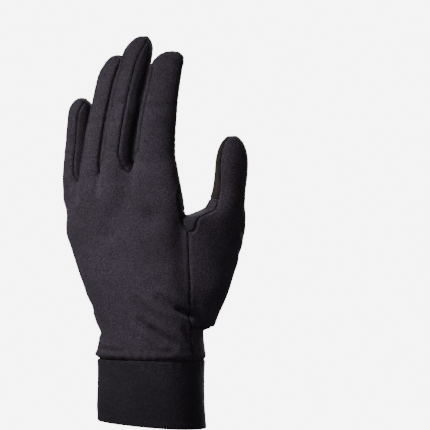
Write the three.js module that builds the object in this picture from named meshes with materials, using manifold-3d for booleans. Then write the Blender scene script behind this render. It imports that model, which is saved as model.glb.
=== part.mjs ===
// A knit glove liner for a left hand, standing on its cuff as a hand wears it.
// Millimetres. +Z runs from the wrist to the fingertips, -Y is the back of the hand and +X is the
// thumb's side. The origin is the centre of the cuff's open lower rim.
import * as THREE from "three";
import { mergeVertices } from "three/addons/utils/BufferGeometryUtils.js";
import Module from "manifold-3d";

const wasm = await Module();
wasm.setup();

// Cloth
const CLOTH_WALL = 1.5;
const CUFF_WALL = 2.4;
const SEAM_GAP = 0.3;

// Cuff, wrist and palm
const CUFF_WIDTH = 73;
const CUFF_DEPTH = 52;
const CUFF_HEIGHT = 42.5;
const RIM_DROP = 4.6;
const WRIST_WIDTH = 72;
const WRIST_DEPTH = 50;
const PALM_HEIGHT = 118;
const PALM_BREADTH = 87;
const PALM_BACK_DEPTH = 18;
const PALM_FRONT_DEPTH = 12.5;
const HAND_LEAN = 20;
const KNUCKLE_SLOPE = 14;

// Fingers: full width and depth of each, and how far its tip stands above the knuckle line
const INDEX_WIDTH = 25.4;
const INDEX_DEPTH = 17;
const INDEX_RISE = 71;
const MIDDLE_WIDTH = 20.8;
const MIDDLE_DEPTH = 20;
const MIDDLE_RISE = 87.5;
const RING_WIDTH = 19;
const RING_DEPTH = 18;
const RING_RISE = 80;
const LITTLE_WIDTH = 17;
const LITTLE_DEPTH = 16.5;
const LITTLE_RISE = 58;

// Thumb: width and depth at its joint, and how far its tip stands above the cuff
const THUMB_WIDTH = 21.4;
const THUMB_DEPTH = 20;
const THUMB_RISE = 142.5;

// Patches, strip and tab
const INDEX_PATCH_LENGTH = 33;
const THUMB_PATCH_LENGTH = 40;
const STRIP_WIDTH = 15;
const STRIP_WALL = 1.2;
const TAB_WIDTH = 5;
const TAB_LENGTH = 20;
const TAB_WALL = 1;
const TAB_ABOVE_RIM = 4;

const KNUCKLE_Z = CUFF_HEIGHT + PALM_HEIGHT;
const HIDDEN_END = 12;
const FAR = 160;

// Facets round each form, and how square its sections are (2 is an ellipse)
const PALM_SIDES = 28;
const FINGER_SIDES = 12;
const THUMB_SIDES = 14;
const HAND_SQUARE = 2.3;
const FINGER_SQUARE = 2.2;

// Sections of the hand from the cuff to the knuckles. up: share of PALM_HEIGHT. lean: share of
// HAND_LEAN. fore: share of PALM_FRONT_DEPTH. broad, back, front: 0 is the wrist's size, 1 the palm's.
const PALM_ROWS = [
  { up: 0.0, lean: 0.0, fore: 0.0, broad: -0.15, back: 0.0, front: 0.0 },
  { up: 0.045, lean: 0.03, fore: 0.0, broad: 0.0, back: -0.02, front: -0.02 },
  { up: 0.12, lean: 0.0, fore: 0.0, broad: -0.2, back: 0.12, front: 0.06 },
  { up: 0.26, lean: 0.24, fore: -0.08, broad: -0.04, back: 0.42, front: 0.2 },
  { up: 0.37, lean: 0.46, fore: -0.12, broad: 0.16, back: 0.64, front: 0.36 },
  { up: 0.48, lean: 0.66, fore: -0.12, broad: 0.46, back: 0.78, front: 0.52 },
  { up: 0.59, lean: 0.84, fore: -0.12, broad: 0.7, back: 0.92, front: 0.68 },
  { up: 0.69, lean: 0.95, fore: -0.12, broad: 0.98, back: 1.0, front: 0.84 },
  { up: 0.8, lean: 0.97, fore: -0.1, broad: 1.0, back: 1.04, front: 1.0 },
  { up: 0.88, lean: 1.05, fore: -0.1, broad: 0.84, back: 1.12, front: 1.16 },
  { up: 0.94, lean: 1.12, fore: -0.1, broad: 0.7, back: 1.32, front: 1.36 },
  { up: 1.0, lean: 1.15, fore: -0.1, broad: 0.3, back: 1.8, front: 1.62 },
  { up: 1.04, lean: 1.15, fore: -0.1, broad: -0.4, back: 2.4, front: 1.84 },
];

// Widths of a finger from inside the palm to its tip. along: share of the finger's rise, 0 at the
// knuckle line. wide, deep: shares of its width and depth.
const ROUND_TIP = [
  { along: -0.3, wide: 0.76, deep: 0.62 },
  { along: -0.08, wide: 1.02, deep: 0.98 },
  { along: 0.09, wide: 1.01, deep: 1.0 },
  { along: 0.3, wide: 0.97, deep: 0.97 },
  { along: 0.55, wide: 0.98, deep: 0.95 },
  { along: 0.79, wide: 0.97, deep: 0.9 },
  { along: 0.89, wide: 0.88, deep: 0.78 },
  { along: 0.96, wide: 0.66, deep: 0.54 },
  { along: 1.0, wide: 0.2, deep: 0.16 },
];
const FLAT_TIP = [
  { along: -0.35, wide: 0.76, deep: 0.62 },
  { along: -0.06, wide: 1.0, deep: 1.0 },
  { along: 0.08, wide: 1.0, deep: 1.0 },
  { along: 0.35, wide: 0.97, deep: 0.96 },
  { along: 0.54, wide: 0.89, deep: 0.9 },
  { along: 0.78, wide: 0.83, deep: 0.8 },
  { along: 0.92, wide: 0.69, deep: 0.6 },
  { along: 0.985, wide: 0.52, deep: 0.42 },
  { along: 1.0, wide: 0.38, deep: 0.24 },
];

// How far the strips between the fingers have opened, from the web to the tip. spread: share of the
// finger's full strip angle.
const STRIP_ROWS = [
  { along: -0.13, spread: 0.12 },
  { along: -0.03, spread: 0.3 },
  { along: 0.05, spread: 0.66 },
  { along: 0.14, spread: 1 },
  { along: 0.35, spread: 1 },
  { along: 0.6, spread: 1 },
  { along: 0.85, spread: 1 },
  { along: 0.975, spread: 1 },
];

// The four fingers. side, fore: place at the knuckle line, as shares of PALM_BREADTH and
// PALM_BACK_DEPTH from the palm's middle. bend, curl: how far the tip stands to the thumb's side and
// to the palm's, as shares of the rise. turn: degrees that its section is turned. strip: degrees that
// the strips on its sides spread from sideways.
const FINGERS = [
  {
    name: "index",
    width: INDEX_WIDTH,
    depth: INDEX_DEPTH,
    rise: INDEX_RISE,
    side: 0.322,
    fore: -0.19,
    bend: 0.03,
    curl: 0.19,
    turn: 22,
    strip: 52,
    tip: FLAT_TIP,
  },
  {
    name: "middle",
    width: MIDDLE_WIDTH,
    depth: MIDDLE_DEPTH,
    rise: MIDDLE_RISE,
    side: 0.034,
    fore: -0.49,
    bend: 0.04,
    curl: 0.265,
    turn: 4,
    strip: 58,
    tip: ROUND_TIP,
  },
  {
    name: "ring",
    width: RING_WIDTH,
    depth: RING_DEPTH,
    rise: RING_RISE,
    side: -0.184,
    fore: -0.31,
    bend: 0.035,
    curl: 0.26,
    turn: -6,
    strip: 46,
    tip: ROUND_TIP,
  },
  {
    name: "little",
    width: LITTLE_WIDTH,
    depth: LITTLE_DEPTH,
    rise: LITTLE_RISE,
    side: -0.385,
    fore: 0.0,
    bend: 0.0,
    curl: 0.13,
    turn: -14,
    strip: 72,
    tip: ROUND_TIP,
  },
];

// Sections of the thumb from the ball of the thumb to its tip. up: share of THUMB_RISE. side: share
// of PALM_BREADTH from the cuff's middle. fore: share of CUFF_DEPTH. long, short: shares of
// THUMB_WIDTH and THUMB_DEPTH. turn: degrees from +X to the long way of the section. seam: how far
// the seam between its two panels stands outwards of its middle, as a share of THUMB_WIDTH.
const THUMB_ROWS = [
  { up: 0.12, side: 0.25, fore: 0.16, long: 0.6, short: 0.6, turn: 45, seam: 0 },
  { up: 0.15, side: 0.265, fore: 0.175, long: 1.4, short: 1.15, turn: 45, seam: 0 },
  { up: 0.2, side: 0.275, fore: 0.2, long: 1.54, short: 1.3, turn: 45, seam: 0 },
  { up: 0.32, side: 0.31, fore: 0.25, long: 1.87, short: 1.5, turn: 45, seam: 0 },
  { up: 0.44, side: 0.342, fore: 0.3, long: 2.06, short: 1.4, turn: 50, seam: 0 },
  { up: 0.57, side: 0.38, fore: 0.355, long: 2.2, short: 1.24, turn: 57, seam: 0.16 },
  { up: 0.63, side: 0.402, fore: 0.385, long: 2.16, short: 1.15, turn: 60, seam: 0.16 },
  { up: 0.68, side: 0.452, fore: 0.495, long: 1.2, short: 1.08, turn: 60, seam: 0.15 },
  { up: 0.78, side: 0.471, fore: 0.538, long: 1.0, short: 1.0, turn: 60, seam: 0.08 },
  { up: 0.87, side: 0.482, fore: 0.545, long: 0.96, short: 0.94, turn: 60, seam: 0 },
  { up: 0.94, side: 0.49, fore: 0.55, long: 0.88, short: 0.82, turn: 60, seam: 0 },
  { up: 0.98, side: 0.488, fore: 0.55, long: 0.64, short: 0.56, turn: 60, seam: 0 },
  { up: 1.0, side: 0.484, fore: 0.55, long: 0.26, short: 0.22, turn: 60, seam: 0 },
];

// Dents and folds of the hand, each a groove between two places on it. turn: degrees round the hand
// from +X (-90 is the middle of the back). up: share of PALM_HEIGHT. half, deep: half width and depth
// in cloth walls.
const FOLD_ROWS = [
  { turnA: -118, upA: 0.76, turnB: -112, upB: 0.7, half: 5, deep: 0.5 },
  { turnA: -72, upA: 0.78, turnB: -70, upB: 0.7, half: 5, deep: 0.6 },
  { turnA: -66, upA: 0.2, turnB: -30, upB: 0.06, half: 3.6, deep: 0.8 },
  { turnA: -44, upA: 0.33, turnB: -16, upB: 0.19, half: 3.6, deep: 0.7 },
  { turnA: 52, upA: 0.27, turnB: 100, upB: 0.15, half: 3.6, deep: 0.8 },
  { turnA: 150, upA: 0.2, turnB: 188, upB: 0.1, half: 3.6, deep: 0.6 },
];

// Gathers where the hand is sewn to the cuff: height in mm, place and spread as shares of PALM_HEIGHT
const GATHER_COUNT = 11;
const GATHER_HEIGHT = 0.42;
const GATHER_UP = 0.045;
const GATHER_SPREAD = 0.04;

// The zone of the thumb's cloth: a sector about a point inside the hand. up: share of PALM_HEIGHT.
// side, fore: the point, as shares of PALM_BREADTH. from, to: degrees of its two edges.
const THUMB_ZONE = [
  { up: 0.175, side: 0.14, fore: 0.02, from: -21, to: 90 },
  { up: 0.31, side: 0.12, fore: 0.02, from: -16, to: 90 },
  { up: 0.48, side: 0.13, fore: 0.02, from: -14, to: 90 },
  { up: 0.69, side: 0.17, fore: 0.02, from: -17, to: 92 },
  { up: 0.735, side: 0.18, fore: 0.0, from: -22, to: 94 },
  { up: 0.79, side: 0.26, fore: 0.0, from: -28, to: 112 },
  { up: 0.86, side: 0.31, fore: 0.1, from: -28, to: 152 },
  { up: 1.35, side: 0.31, fore: 0.1, from: -28, to: 152 },
];

// Seams that join back and palm. up: share of PALM_HEIGHT. thumbSide, otherSide: how far towards the
// palm each stands from the hand's middle, as a share of PALM_BACK_DEPTH.
const SIDE_SEAM_ROWS = [
  { up: 0.0, thumbSide: -0.4, otherSide: 0.36 },
  { up: 0.17, thumbSide: -0.38, otherSide: 0.36 },
  { up: 0.24, thumbSide: 0.0, otherSide: 0.34 },
  { up: 0.67, thumbSide: 0.0, otherSide: 0.25 },
  { up: 0.74, thumbSide: -0.12, otherSide: 0.22 },
  { up: 0.86, thumbSide: -0.24, otherSide: 0.2 },
  { up: 0.95, thumbSide: 0.0, otherSide: 0.2 },
  { up: 1.0, thumbSide: 0.1, otherSide: 0.2 },
];

// On the fingers those seams run beside the index finger's and the little finger's middle line.
// Shares of the finger's depth, and how far out the zone turns level, as a share of its width.
const INDEX_SEAM_FORE = 0.28;
const LITTLE_SEAM_FORE = 0.2;
const SEAM_LEVEL_FROM = 0.3;
const SEAM_BLEND_FROM = 0.9;
const SEAM_BLEND_TO = 1.08;
const FINGER_ZONE_STEP = 0.12;

// Height of the seam that runs under the web of the thumb, as a share of PALM_HEIGHT, and the turn
// in degrees and heights (shares of THUMB_RISE) of the seam between the thumb's two panels
const WEB_SEAM_UP = 0.69;
const THUMB_SEAM_TURN = -103;
const THUMB_SEAM_UPS = [0.64, 0.7, 0.78, 0.87, 0.94, 1.05];

// Cuff sections. up: share of CUFF_HEIGHT. swell: share of the cuff's size.
const CUFF_ROWS = [
  { up: 0.0, swell: 1.0 },
  { up: 0.12, swell: 0.988 },
  { up: 0.4, swell: 0.966 },
  { up: 0.75, swell: 0.96 },
  { up: 1.0, swell: 0.965 },
];
const STRIP_MIDDLE_TURN = 53;

// A finger's middle line is along ** FINGER_CURVE. The hollow's tip drops by one wall from
// TIP_DROP_FROM on.
const FINGER_CURVE = 1.55;
const TIP_DROP_FROM = 0.75;

// Heights at which the forms are drawn, as shares of PALM_HEIGHT, a finger's rise and THUMB_RISE
const PALM_STATIONS = [
  0, 0.022, 0.045, 0.08, 0.12, 0.17, 0.22, 0.31, 0.43, 0.56, 0.68, 0.77, 0.85, 0.92, 0.98, 1.04,
];
const FINGER_STATIONS = [-0.28, -0.08, 0.08, 0.28, 0.5, 0.72, 0.86, 0.94, 0.985, 1];
const THUMB_STATIONS = [
  0.12, 0.15, 0.2, 0.28, 0.36, 0.44, 0.52, 0.59, 0.63, 0.67, 0.72, 0.8, 0.88, 0.94, 0.98, 1,
];
const SLOPE_STARTS = 0.7;
const THUMB_ARC_SHARES = [-1, -0.34, 0.34, 1];

const degrees = THREE.MathUtils.degToRad;
const mix = THREE.MathUtils.lerp;
const KNUCKLE_TAN = Math.tan(degrees(KNUCKLE_SLOPE));

// Reads one column of a table at a value of its first column, on a smooth curve through the rows.
function readRow(rows, at, column) {
  const key = Object.keys(rows[0])[0];
  let i = 0;
  while (i < rows.length - 2 && rows[i + 1][key] < at) i++;
  const span = rows[i + 1][key] - rows[i][key];
  const t = THREE.MathUtils.clamp((at - rows[i][key]) / span, 0, 1);
  const slope = (a, b) => (rows[b][column] - rows[a][column]) / (rows[b][key] - rows[a][key]);
  const here = slope(i, i + 1);
  const before = i > 0 ? slope(i - 1, i) : here;
  const after = i < rows.length - 2 ? slope(i + 1, i + 2) : here;
  const start = before * here > 0 ? (2 * before * here) / (before + here) : 0;
  const end = after * here > 0 ? (2 * after * here) / (after + here) : 0;
  const t2 = t * t;
  const t3 = t2 * t;
  return (
    rows[i][column] * (2 * t3 - 3 * t2 + 1) +
    rows[i + 1][column] * (3 * t2 - 2 * t3) +
    span * (start * (t3 - 2 * t2 + t) + end * (t3 - t2))
  );
}

// Skins rings of equally many points, from the lowest to the highest, into one closed solid.
function skin(rings) {
  const count = rings[0].points.length;
  const positions = [];
  const index = [];
  for (const { z, points, slope = 0, middle = 0 } of rings) {
    for (const [x, y] of points) positions.push(x, y, z + slope * (x - middle));
  }
  for (let r = 0; r < rings.length - 1; r++) {
    for (let i = 0; i < count; i++) {
      const a = r * count + i;
      const b = r * count + ((i + 1) % count);
      index.push(a, b, b + count, a, b + count, a + count);
    }
  }
  const cap = (r, up) => {
    const outline = rings[r].points.map(([x, y]) => new THREE.Vector2(x, y));
    for (const [a, b, c] of THREE.ShapeUtils.triangulateShape(outline, [])) {
      const face = [a, b, c].map((k) => r * count + k);
      index.push(...(up ? face : face.reverse()));
    }
  };
  cap(0, false);
  cap(rings.length - 1, true);
  const geometry = new THREE.BufferGeometry();
  geometry.setAttribute("position", new THREE.Float32BufferAttribute(positions, 3));
  geometry.setIndex(index);
  return solidOf(geometry);
}

function solidOf(geometry) {
  const merged = mergeVertices(geometry, 1e-4);
  return new wasm.Manifold(
    new wasm.Mesh({
      numProp: 3,
      vertProperties: merged.attributes.position.array,
      triVerts: new Uint32Array(merged.index.array),
    }),
  );
}

// A rounded section: half widths along X, towards the back (-Y) and towards the front (+Y), then turned.
function roundSection(section, sides, push = () => 0) {
  const { x, y, half, back, front, turn = 0, power = HAND_SQUARE } = section;
  const shape = (v) => Math.sign(v) * Math.abs(v) ** (2 / power);
  const cos = Math.cos(degrees(turn));
  const sin = Math.sin(degrees(turn));
  const points = [];
  for (let i = 0; i < sides; i++) {
    const angle = (i / sides) * 2 * Math.PI;
    const out = push(angle);
    const px = shape(Math.cos(angle)) * (half + out);
    const py = shape(Math.sin(angle)) * ((Math.sin(angle) < 0 ? back : front) + out);
    points.push([x + px * cos - py * sin, y + px * sin + py * cos]);
  }
  return points;
}

// Size and place of the hand's section at a height. wall is how far inside the outer face it lies.
function palmSection(up, wall) {
  const read = (column) => readRow(PALM_ROWS, up, column);
  return {
    x: -HAND_LEAN * read("lean"),
    y: PALM_FRONT_DEPTH * read("fore"),
    half: mix(WRIST_WIDTH, PALM_BREADTH, read("broad")) / 2 - wall,
    back: mix(WRIST_DEPTH / 2, PALM_BACK_DEPTH, read("back")) - wall,
    front: mix(WRIST_DEPTH / 2, PALM_FRONT_DEPTH, read("front")) - wall,
  };
}

// How far a fold, dent or gather moves the cloth outwards at a place on the hand.
function palmPush(up, angle) {
  const turn = THREE.MathUtils.radToDeg(angle);
  let push = 0;
  for (const fold of FOLD_ROWS) {
    const around = ((turn - fold.turnA + 540) % 360) - 180;
    const run = fold.turnB - fold.turnA;
    const climb = fold.upB - fold.upA;
    const reach = degrees(1) * (PALM_BREADTH / 2);
    const a = [around * reach, (up - fold.upA) * PALM_HEIGHT];
    const b = [run * reach, climb * PALM_HEIGHT];
    const t = THREE.MathUtils.clamp((a[0] * b[0] + a[1] * b[1]) / (b[0] ** 2 + b[1] ** 2), 0, 1);
    const away = Math.hypot(a[0] - t * b[0], a[1] - t * b[1]) / (fold.half * CLOTH_WALL);
    push -= fold.deep * CLOTH_WALL * Math.exp(-away * away);
  }
  const near = Math.exp(-(((up - GATHER_UP) / GATHER_SPREAD) ** 2));
  return push + GATHER_HEIGHT * near * Math.cos(GATHER_COUNT * angle);
}

function palmForm(wall) {
  const rings = PALM_STATIONS.map((up) => {
    const section = palmSection(up, wall);
    return {
      z: CUFF_HEIGHT + SEAM_GAP + up * PALM_HEIGHT,
      slope: KNUCKLE_TAN * THREE.MathUtils.smoothstep(up, SLOPE_STARTS, 1),
      middle: section.x,
      points: roundSection(section, PALM_SIDES, (angle) => palmPush(up, angle)),
    };
  });
  if (wall > 0) {
    rings.at(-1).z -= wall;
    rings.unshift({ ...rings[0], z: rings[0].z - HIDDEN_END });
  }
  return skin(rings);
}

// Height of a finger's root on the sloping knuckle line.
function rootZ(finger) {
  return KNUCKLE_Z + KNUCKLE_TAN * finger.side * PALM_BREADTH;
}

// Middle line of a finger at a share of its rise.
function fingerAt(finger, along) {
  const curve = Math.sign(along) * Math.abs(along) ** FINGER_CURVE;
  const palm = palmSection(1, 0);
  return {
    x: palm.x + finger.side * PALM_BREADTH + finger.bend * finger.rise * curve,
    y: palm.y + finger.fore * PALM_BACK_DEPTH + finger.curl * finger.rise * curve,
    z: rootZ(finger) + finger.rise * along,
  };
}

// One ring of a finger or the thumb, set in by the wall. Its tip drops by one wall as well.
function closedRing({ x, y, z, half, deep, turn, power }, along, wall, sides) {
  const inset = (size) => Math.max(size - wall, wall / 3);
  const depth = inset(deep);
  return {
    z: z - wall * THREE.MathUtils.smoothstep(along, TIP_DROP_FROM, 1),
    points: roundSection({ x, y, half: inset(half), back: depth, front: depth, turn, power }, sides),
  };
}

function fingerForm(finger, wall) {
  return skin(
    FINGER_STATIONS.map((along) => {
      const half = (readRow(finger.tip, along, "wide") * finger.width) / 2;
      const deep = (readRow(finger.tip, along, "deep") * finger.depth) / 2;
      const row = { ...fingerAt(finger, along), half, deep, turn: finger.turn, power: FINGER_SQUARE };
      return closedRing(row, along, wall, FINGER_SIDES);
    }),
  );
}

function thumbAt(up) {
  const read = (column) => readRow(THUMB_ROWS, up, column);
  return {
    x: PALM_BREADTH * read("side"),
    y: CUFF_DEPTH * read("fore"),
    z: CUFF_HEIGHT + up * THUMB_RISE,
    half: (THUMB_WIDTH * read("long")) / 2,
    deep: (THUMB_DEPTH * read("short")) / 2,
    turn: read("turn"),
  };
}

function thumbForm(wall) {
  return skin(THUMB_STATIONS.map((up) => closedRing(thumbAt(up), up, wall, THUMB_SIDES)));
}

const unite = (solids) => solids.reduce((all, one) => all.add(one));

// Everything on the palm's side of the seams that join back and palm. shift moves the surface
// towards the palm.
function palmSide(shift) {
  const seamRow = (z) => {
    const share = (z - CUFF_HEIGHT) / PALM_HEIGHT;
    const up = THREE.MathUtils.clamp(share, 0, 1);
    const palm = palmSection(up, 0);
    const high = THREE.MathUtils.smoothstep(share, SEAM_BLEND_FROM, SEAM_BLEND_TO);
    const inside = FINGERS.toReversed().map((finger) => {
      const along = THREE.MathUtils.clamp((z - rootZ(finger)) / finger.rise, 0, 1);
      return { finger, at: fingerAt(finger, along) };
    });
    const little = inside[0];
    const index = inside.at(-1);
    const seamY = (column) => palm.y + PALM_BACK_DEPTH * readRow(SIDE_SEAM_ROWS, up, column);
    const littleY = little.at.y + LITTLE_SEAM_FORE * little.finger.depth;
    const indexY = index.at.y + INDEX_SEAM_FORE * index.finger.depth;
    const otherY = mix(seamY("otherSide"), littleY, high);
    const thumbY = mix(seamY("thumbSide"), indexY, high);
    const points = [
      [-FAR, otherY],
      [little.at.x - SEAM_LEVEL_FROM * little.finger.width, otherY],
      ...inside.map(({ at }) => [at.x, at.y]),
      [index.at.x + SEAM_LEVEL_FROM * index.finger.width, thumbY],
      [FAR, thumbY],
    ];
    return [...points.map(([x, y]) => [x, y + shift]), [FAR, FAR], [-FAR, FAR]];
  };
  const heights = [-HIDDEN_END, ...SIDE_SEAM_ROWS.map(({ up }) => CUFF_HEIGHT + up * PALM_HEIGHT)];
  for (let step = 1; step * FINGER_ZONE_STEP < 1.1; step++) {
    heights.push(KNUCKLE_Z + step * FINGER_ZONE_STEP * MIDDLE_RISE);
  }
  return skin(heights.map((z) => ({ z, points: seamRow(z) })));
}

// The strip zone on one side of a finger: a sector about its middle line that ends half way to its
// neighbour. side is 1 towards the thumb and -1 away from it. grow widens the zone all round.
function stripZone(finger, neighbour, side, grow) {
  const last = STRIP_ROWS.length - 1;
  return skin(
    STRIP_ROWS.map(({ along, spread }, i) => {
      const at = fingerAt(finger, along);
      const beside = (at.z - rootZ(neighbour)) / neighbour.rise;
      const share = THREE.MathUtils.clamp(beside, STRIP_ROWS[0].along, 1);
      const half = degrees(finger.strip * spread);
      const tipX = at.x - (side * grow) / Math.sin(half);
      const farX = (at.x + fingerAt(neighbour, share).x) / 2 + side * (1 + grow);
      const rise = Math.tan(half) * Math.abs(farX - tipX);
      const points = [
        [tipX, at.y],
        [farX, at.y - side * rise],
        [farX, at.y + side * rise],
      ];
      return { z: at.z + (i === 0 ? -grow : 0) + (i === last ? grow : 0), points };
    }),
  );
}

function fourchetteZone(outer, inner, grow) {
  return stripZone(inner, outer, 1, grow).add(stripZone(outer, inner, -1, grow));
}

// The sector of the hand that the thumb's cloth covers.
function thumbZone(grow) {
  return skin(
    THUMB_ZONE.map((row, i) => {
      const x = row.side * PALM_BREADTH;
      const y = row.fore * PALM_BREADTH;
      const middle = degrees((row.from + row.to) / 2);
      const half = degrees((row.to - row.from) / 2);
      const inset = grow / Math.sin(half);
      const tip = [x - inset * Math.cos(middle), y - inset * Math.sin(middle)];
      const points = [tip];
      for (const share of THUMB_ARC_SHARES) {
        const angle = middle + share * half;
        points.push([tip[0] + FAR * Math.cos(angle), tip[1] + FAR * Math.sin(angle)]);
      }
      return { z: CUFF_HEIGHT + row.up * PALM_HEIGHT - (i === 0 ? grow : 0), points };
    }),
  );
}

// Everything above the web seam on the index finger's side of the thumb's middle.
function thumbInnerZone(grow) {
  const ahead = degrees(THUMB_SEAM_TURN);
  const [aheadX, aheadY] = [FAR * Math.cos(ahead), FAR * Math.sin(ahead)];
  const ups = [(WEB_SEAM_UP * PALM_HEIGHT) / THUMB_RISE, ...THUMB_SEAM_UPS];
  return skin(
    ups.map((up, i) => {
      const at = thumbAt(Math.min(up, 1));
      const out = THUMB_WIDTH * readRow(THUMB_ROWS, Math.min(up, 1), "seam") + grow;
      const x = at.x - out * Math.sin(ahead);
      const y = at.y + out * Math.cos(ahead);
      const points = [
        [x - aheadX, y - aheadY],
        [x - aheadX + aheadY, y - aheadY - aheadX],
        [x + aheadX + aheadY, y + aheadY - aheadX],
        [x + aheadX, y + aheadY],
      ];
      return { z: CUFF_HEIGHT + up * THUMB_RISE - (i === 0 ? grow : 0), points };
    }),
  );
}

// A block of space between two heights, from one X to another.
function block(lowX, highX, lowZ, highZ) {
  const points = [
    [lowX, -FAR],
    [highX, -FAR],
    [highX, FAR],
    [lowX, FAR],
  ];
  return skin([
    { z: lowZ, points },
    { z: highZ, points },
  ]);
}

// The largest body of a cut piece: slivers that a cut leaves at a seam are dropped.
function largest(solid) {
  return solid.decompose().sort((a, b) => b.volume() - a.volume())[0];
}

function cuffSection(up, out) {
  const swell = readRow(CUFF_ROWS, up, "swell");
  return {
    x: 0,
    y: 0,
    half: (CUFF_WIDTH / 2) * swell + out,
    back: (CUFF_DEPTH / 2) * swell + out,
    front: (CUFF_DEPTH / 2) * swell + out,
  };
}

function cuffForm(out, overshoot) {
  const rings = CUFF_ROWS.map(({ up }) => ({
    z: up * CUFF_HEIGHT,
    slope: (-RIM_DROP / CUFF_WIDTH) * (1 - up),
    points: roundSection(cuffSection(up, out), PALM_SIDES),
  }));
  rings[0].z -= overshoot;
  rings.at(-1).z += overshoot;
  return skin(rings);
}

// A flat piece that lies on the cuff's outside between two turns and two heights.
function cuffPatch(fromTurn, toTurn, low, high, wall) {
  const band = cuffForm(SEAM_GAP + wall, 0).subtract(cuffForm(SEAM_GAP, HIDDEN_END));
  const far = (turn) => {
    const angle = degrees(turn);
    return [CUFF_WIDTH * Math.cos(angle), CUFF_DEPTH * Math.sin(angle)];
  };
  const points = [[0, 0], far(fromTurn), far(toTurn)];
  return band.intersect(
    skin([
      { z: low, points },
      { z: high, points },
    ]),
  );
}

const KNIT = { color: 0x34303a, roughness: 0.9, metalness: 0 };
const KNIT_INSET = { color: 0x2c2830, roughness: 0.92, metalness: 0 };
const PATCH = { color: 0x24211f, roughness: 0.75, metalness: 0 };
const STRIP = { color: 0x1e1614, roughness: 0.85, metalness: 0 };
const TAB = { color: 0x111112, roughness: 0.6, metalness: 0 };

function meshOf(name, solid, look) {
  const { vertProperties, triVerts } = largest(solid).getMesh();
  const geometry = new THREE.BufferGeometry();
  geometry.setAttribute("position", new THREE.BufferAttribute(vertProperties, 3));
  geometry.setIndex(new THREE.BufferAttribute(triVerts, 1));
  const flat = geometry.toNonIndexed();
  flat.computeVertexNormals();
  const mesh = new THREE.Mesh(flat, new THREE.MeshStandardMaterial(look));
  mesh.name = name;
  return mesh;
}

const glove = new THREE.Group();
const half = SEAM_GAP / 2;

const outside = unite([palmForm(0), ...FINGERS.map((finger) => fingerForm(finger, 0)), thumbForm(0)]);
const inside = unite([
  palmForm(CLOTH_WALL),
  ...FINGERS.map((finger) => fingerForm(finger, CLOTH_WALL)),
  thumbForm(CLOTH_WALL),
]);
const shell = outside.subtract(inside);

const thumbCloth = shell.intersect(thumbZone(-half));
const hand = shell.subtract(thumbZone(half));

const pairs = [
  ["index", "middle"],
  ["middle", "ring"],
  ["ring", "little"],
];
let trank = hand;
for (const [outerName, innerName] of pairs) {
  const outer = FINGERS.find((finger) => finger.name === outerName);
  const inner = FINGERS.find((finger) => finger.name === innerName);
  const strip = hand.intersect(fourchetteZone(outer, inner, -half));
  glove.add(meshOf("fourchette_" + outerName + "_" + innerName, strip, KNIT_INSET));
  trank = trank.subtract(fourchetteZone(outer, inner, half));
}

const index = FINGERS[0];
const hemZ = rootZ(index) + index.rise - INDEX_PATCH_LENGTH;
const hemAlong = (hemZ - rootZ(index)) / index.rise;
const patchLowX = fingerAt(index, hemAlong).x - index.width / 2;
const palmCloth = trank.intersect(palmSide(half));
const abovePatchHem = (shift) => block(patchLowX, FAR, hemZ + shift, FAR * 2);
glove.add(meshOf("back_panel", trank.subtract(palmSide(-half)), KNIT));
glove.add(meshOf("palm_panel", palmCloth.subtract(abovePatchHem(-half)), KNIT));
glove.add(meshOf("index_touch_patch", palmCloth.intersect(abovePatchHem(half)), PATCH));

const thumbTop = CUFF_HEIGHT + THUMB_RISE;
const thumbHem = thumbTop - THUMB_PATCH_LENGTH;
const thumbInner = thumbCloth.intersect(thumbInnerZone(-half));
const aboveThumbHem = (shift) => block(-FAR, FAR, thumbHem + shift, FAR * 2);
glove.add(meshOf("thumb_outer_panel", thumbCloth.subtract(thumbInnerZone(half)), KNIT));
glove.add(meshOf("thumb_inner_panel", thumbInner.subtract(aboveThumbHem(-half)), KNIT_INSET));
glove.add(meshOf("thumb_touch_patch", thumbInner.intersect(aboveThumbHem(half)), PATCH));

const cuff = cuffForm(0, 0).subtract(cuffForm(-CUFF_WALL, HIDDEN_END));
glove.add(meshOf("cuff", cuff, KNIT));

const turnPerWidth = THREE.MathUtils.radToDeg(1 / (CUFF_WIDTH / 2));
const stripTurn = (STRIP_WIDTH / 2) * turnPerWidth;
const stripFrom = STRIP_MIDDLE_TURN - stripTurn;
const stripTo = STRIP_MIDDLE_TURN + stripTurn;
const tabFrom = stripTo + SEAM_GAP * turnPerWidth;
const tabTo = tabFrom + TAB_WIDTH * turnPerWidth;
const tabTop = TAB_ABOVE_RIM + TAB_LENGTH;
glove.add(meshOf("cuff_strip", cuffPatch(stripFrom, stripTo, -HIDDEN_END, FAR, STRIP_WALL), STRIP));
glove.add(meshOf("label_tab", cuffPatch(tabFrom, tabTo, TAB_ABOVE_RIM, tabTop, TAB_WALL), TAB));

export default glove;
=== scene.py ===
"""A knit glove liner for a left hand, worn form, dressed over its CAD solids.

Tables and shapes are in millimetres and become metres where a mesh is made. +Z runs from the wrist
to the fingertips, -Y is the back of the hand and +X is the thumb's side.
"""

import math

import bpy
import numpy as np
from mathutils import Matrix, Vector
from mathutils.bvhtree import BVHTree
from mathutils.kdtree import KDTree


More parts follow.
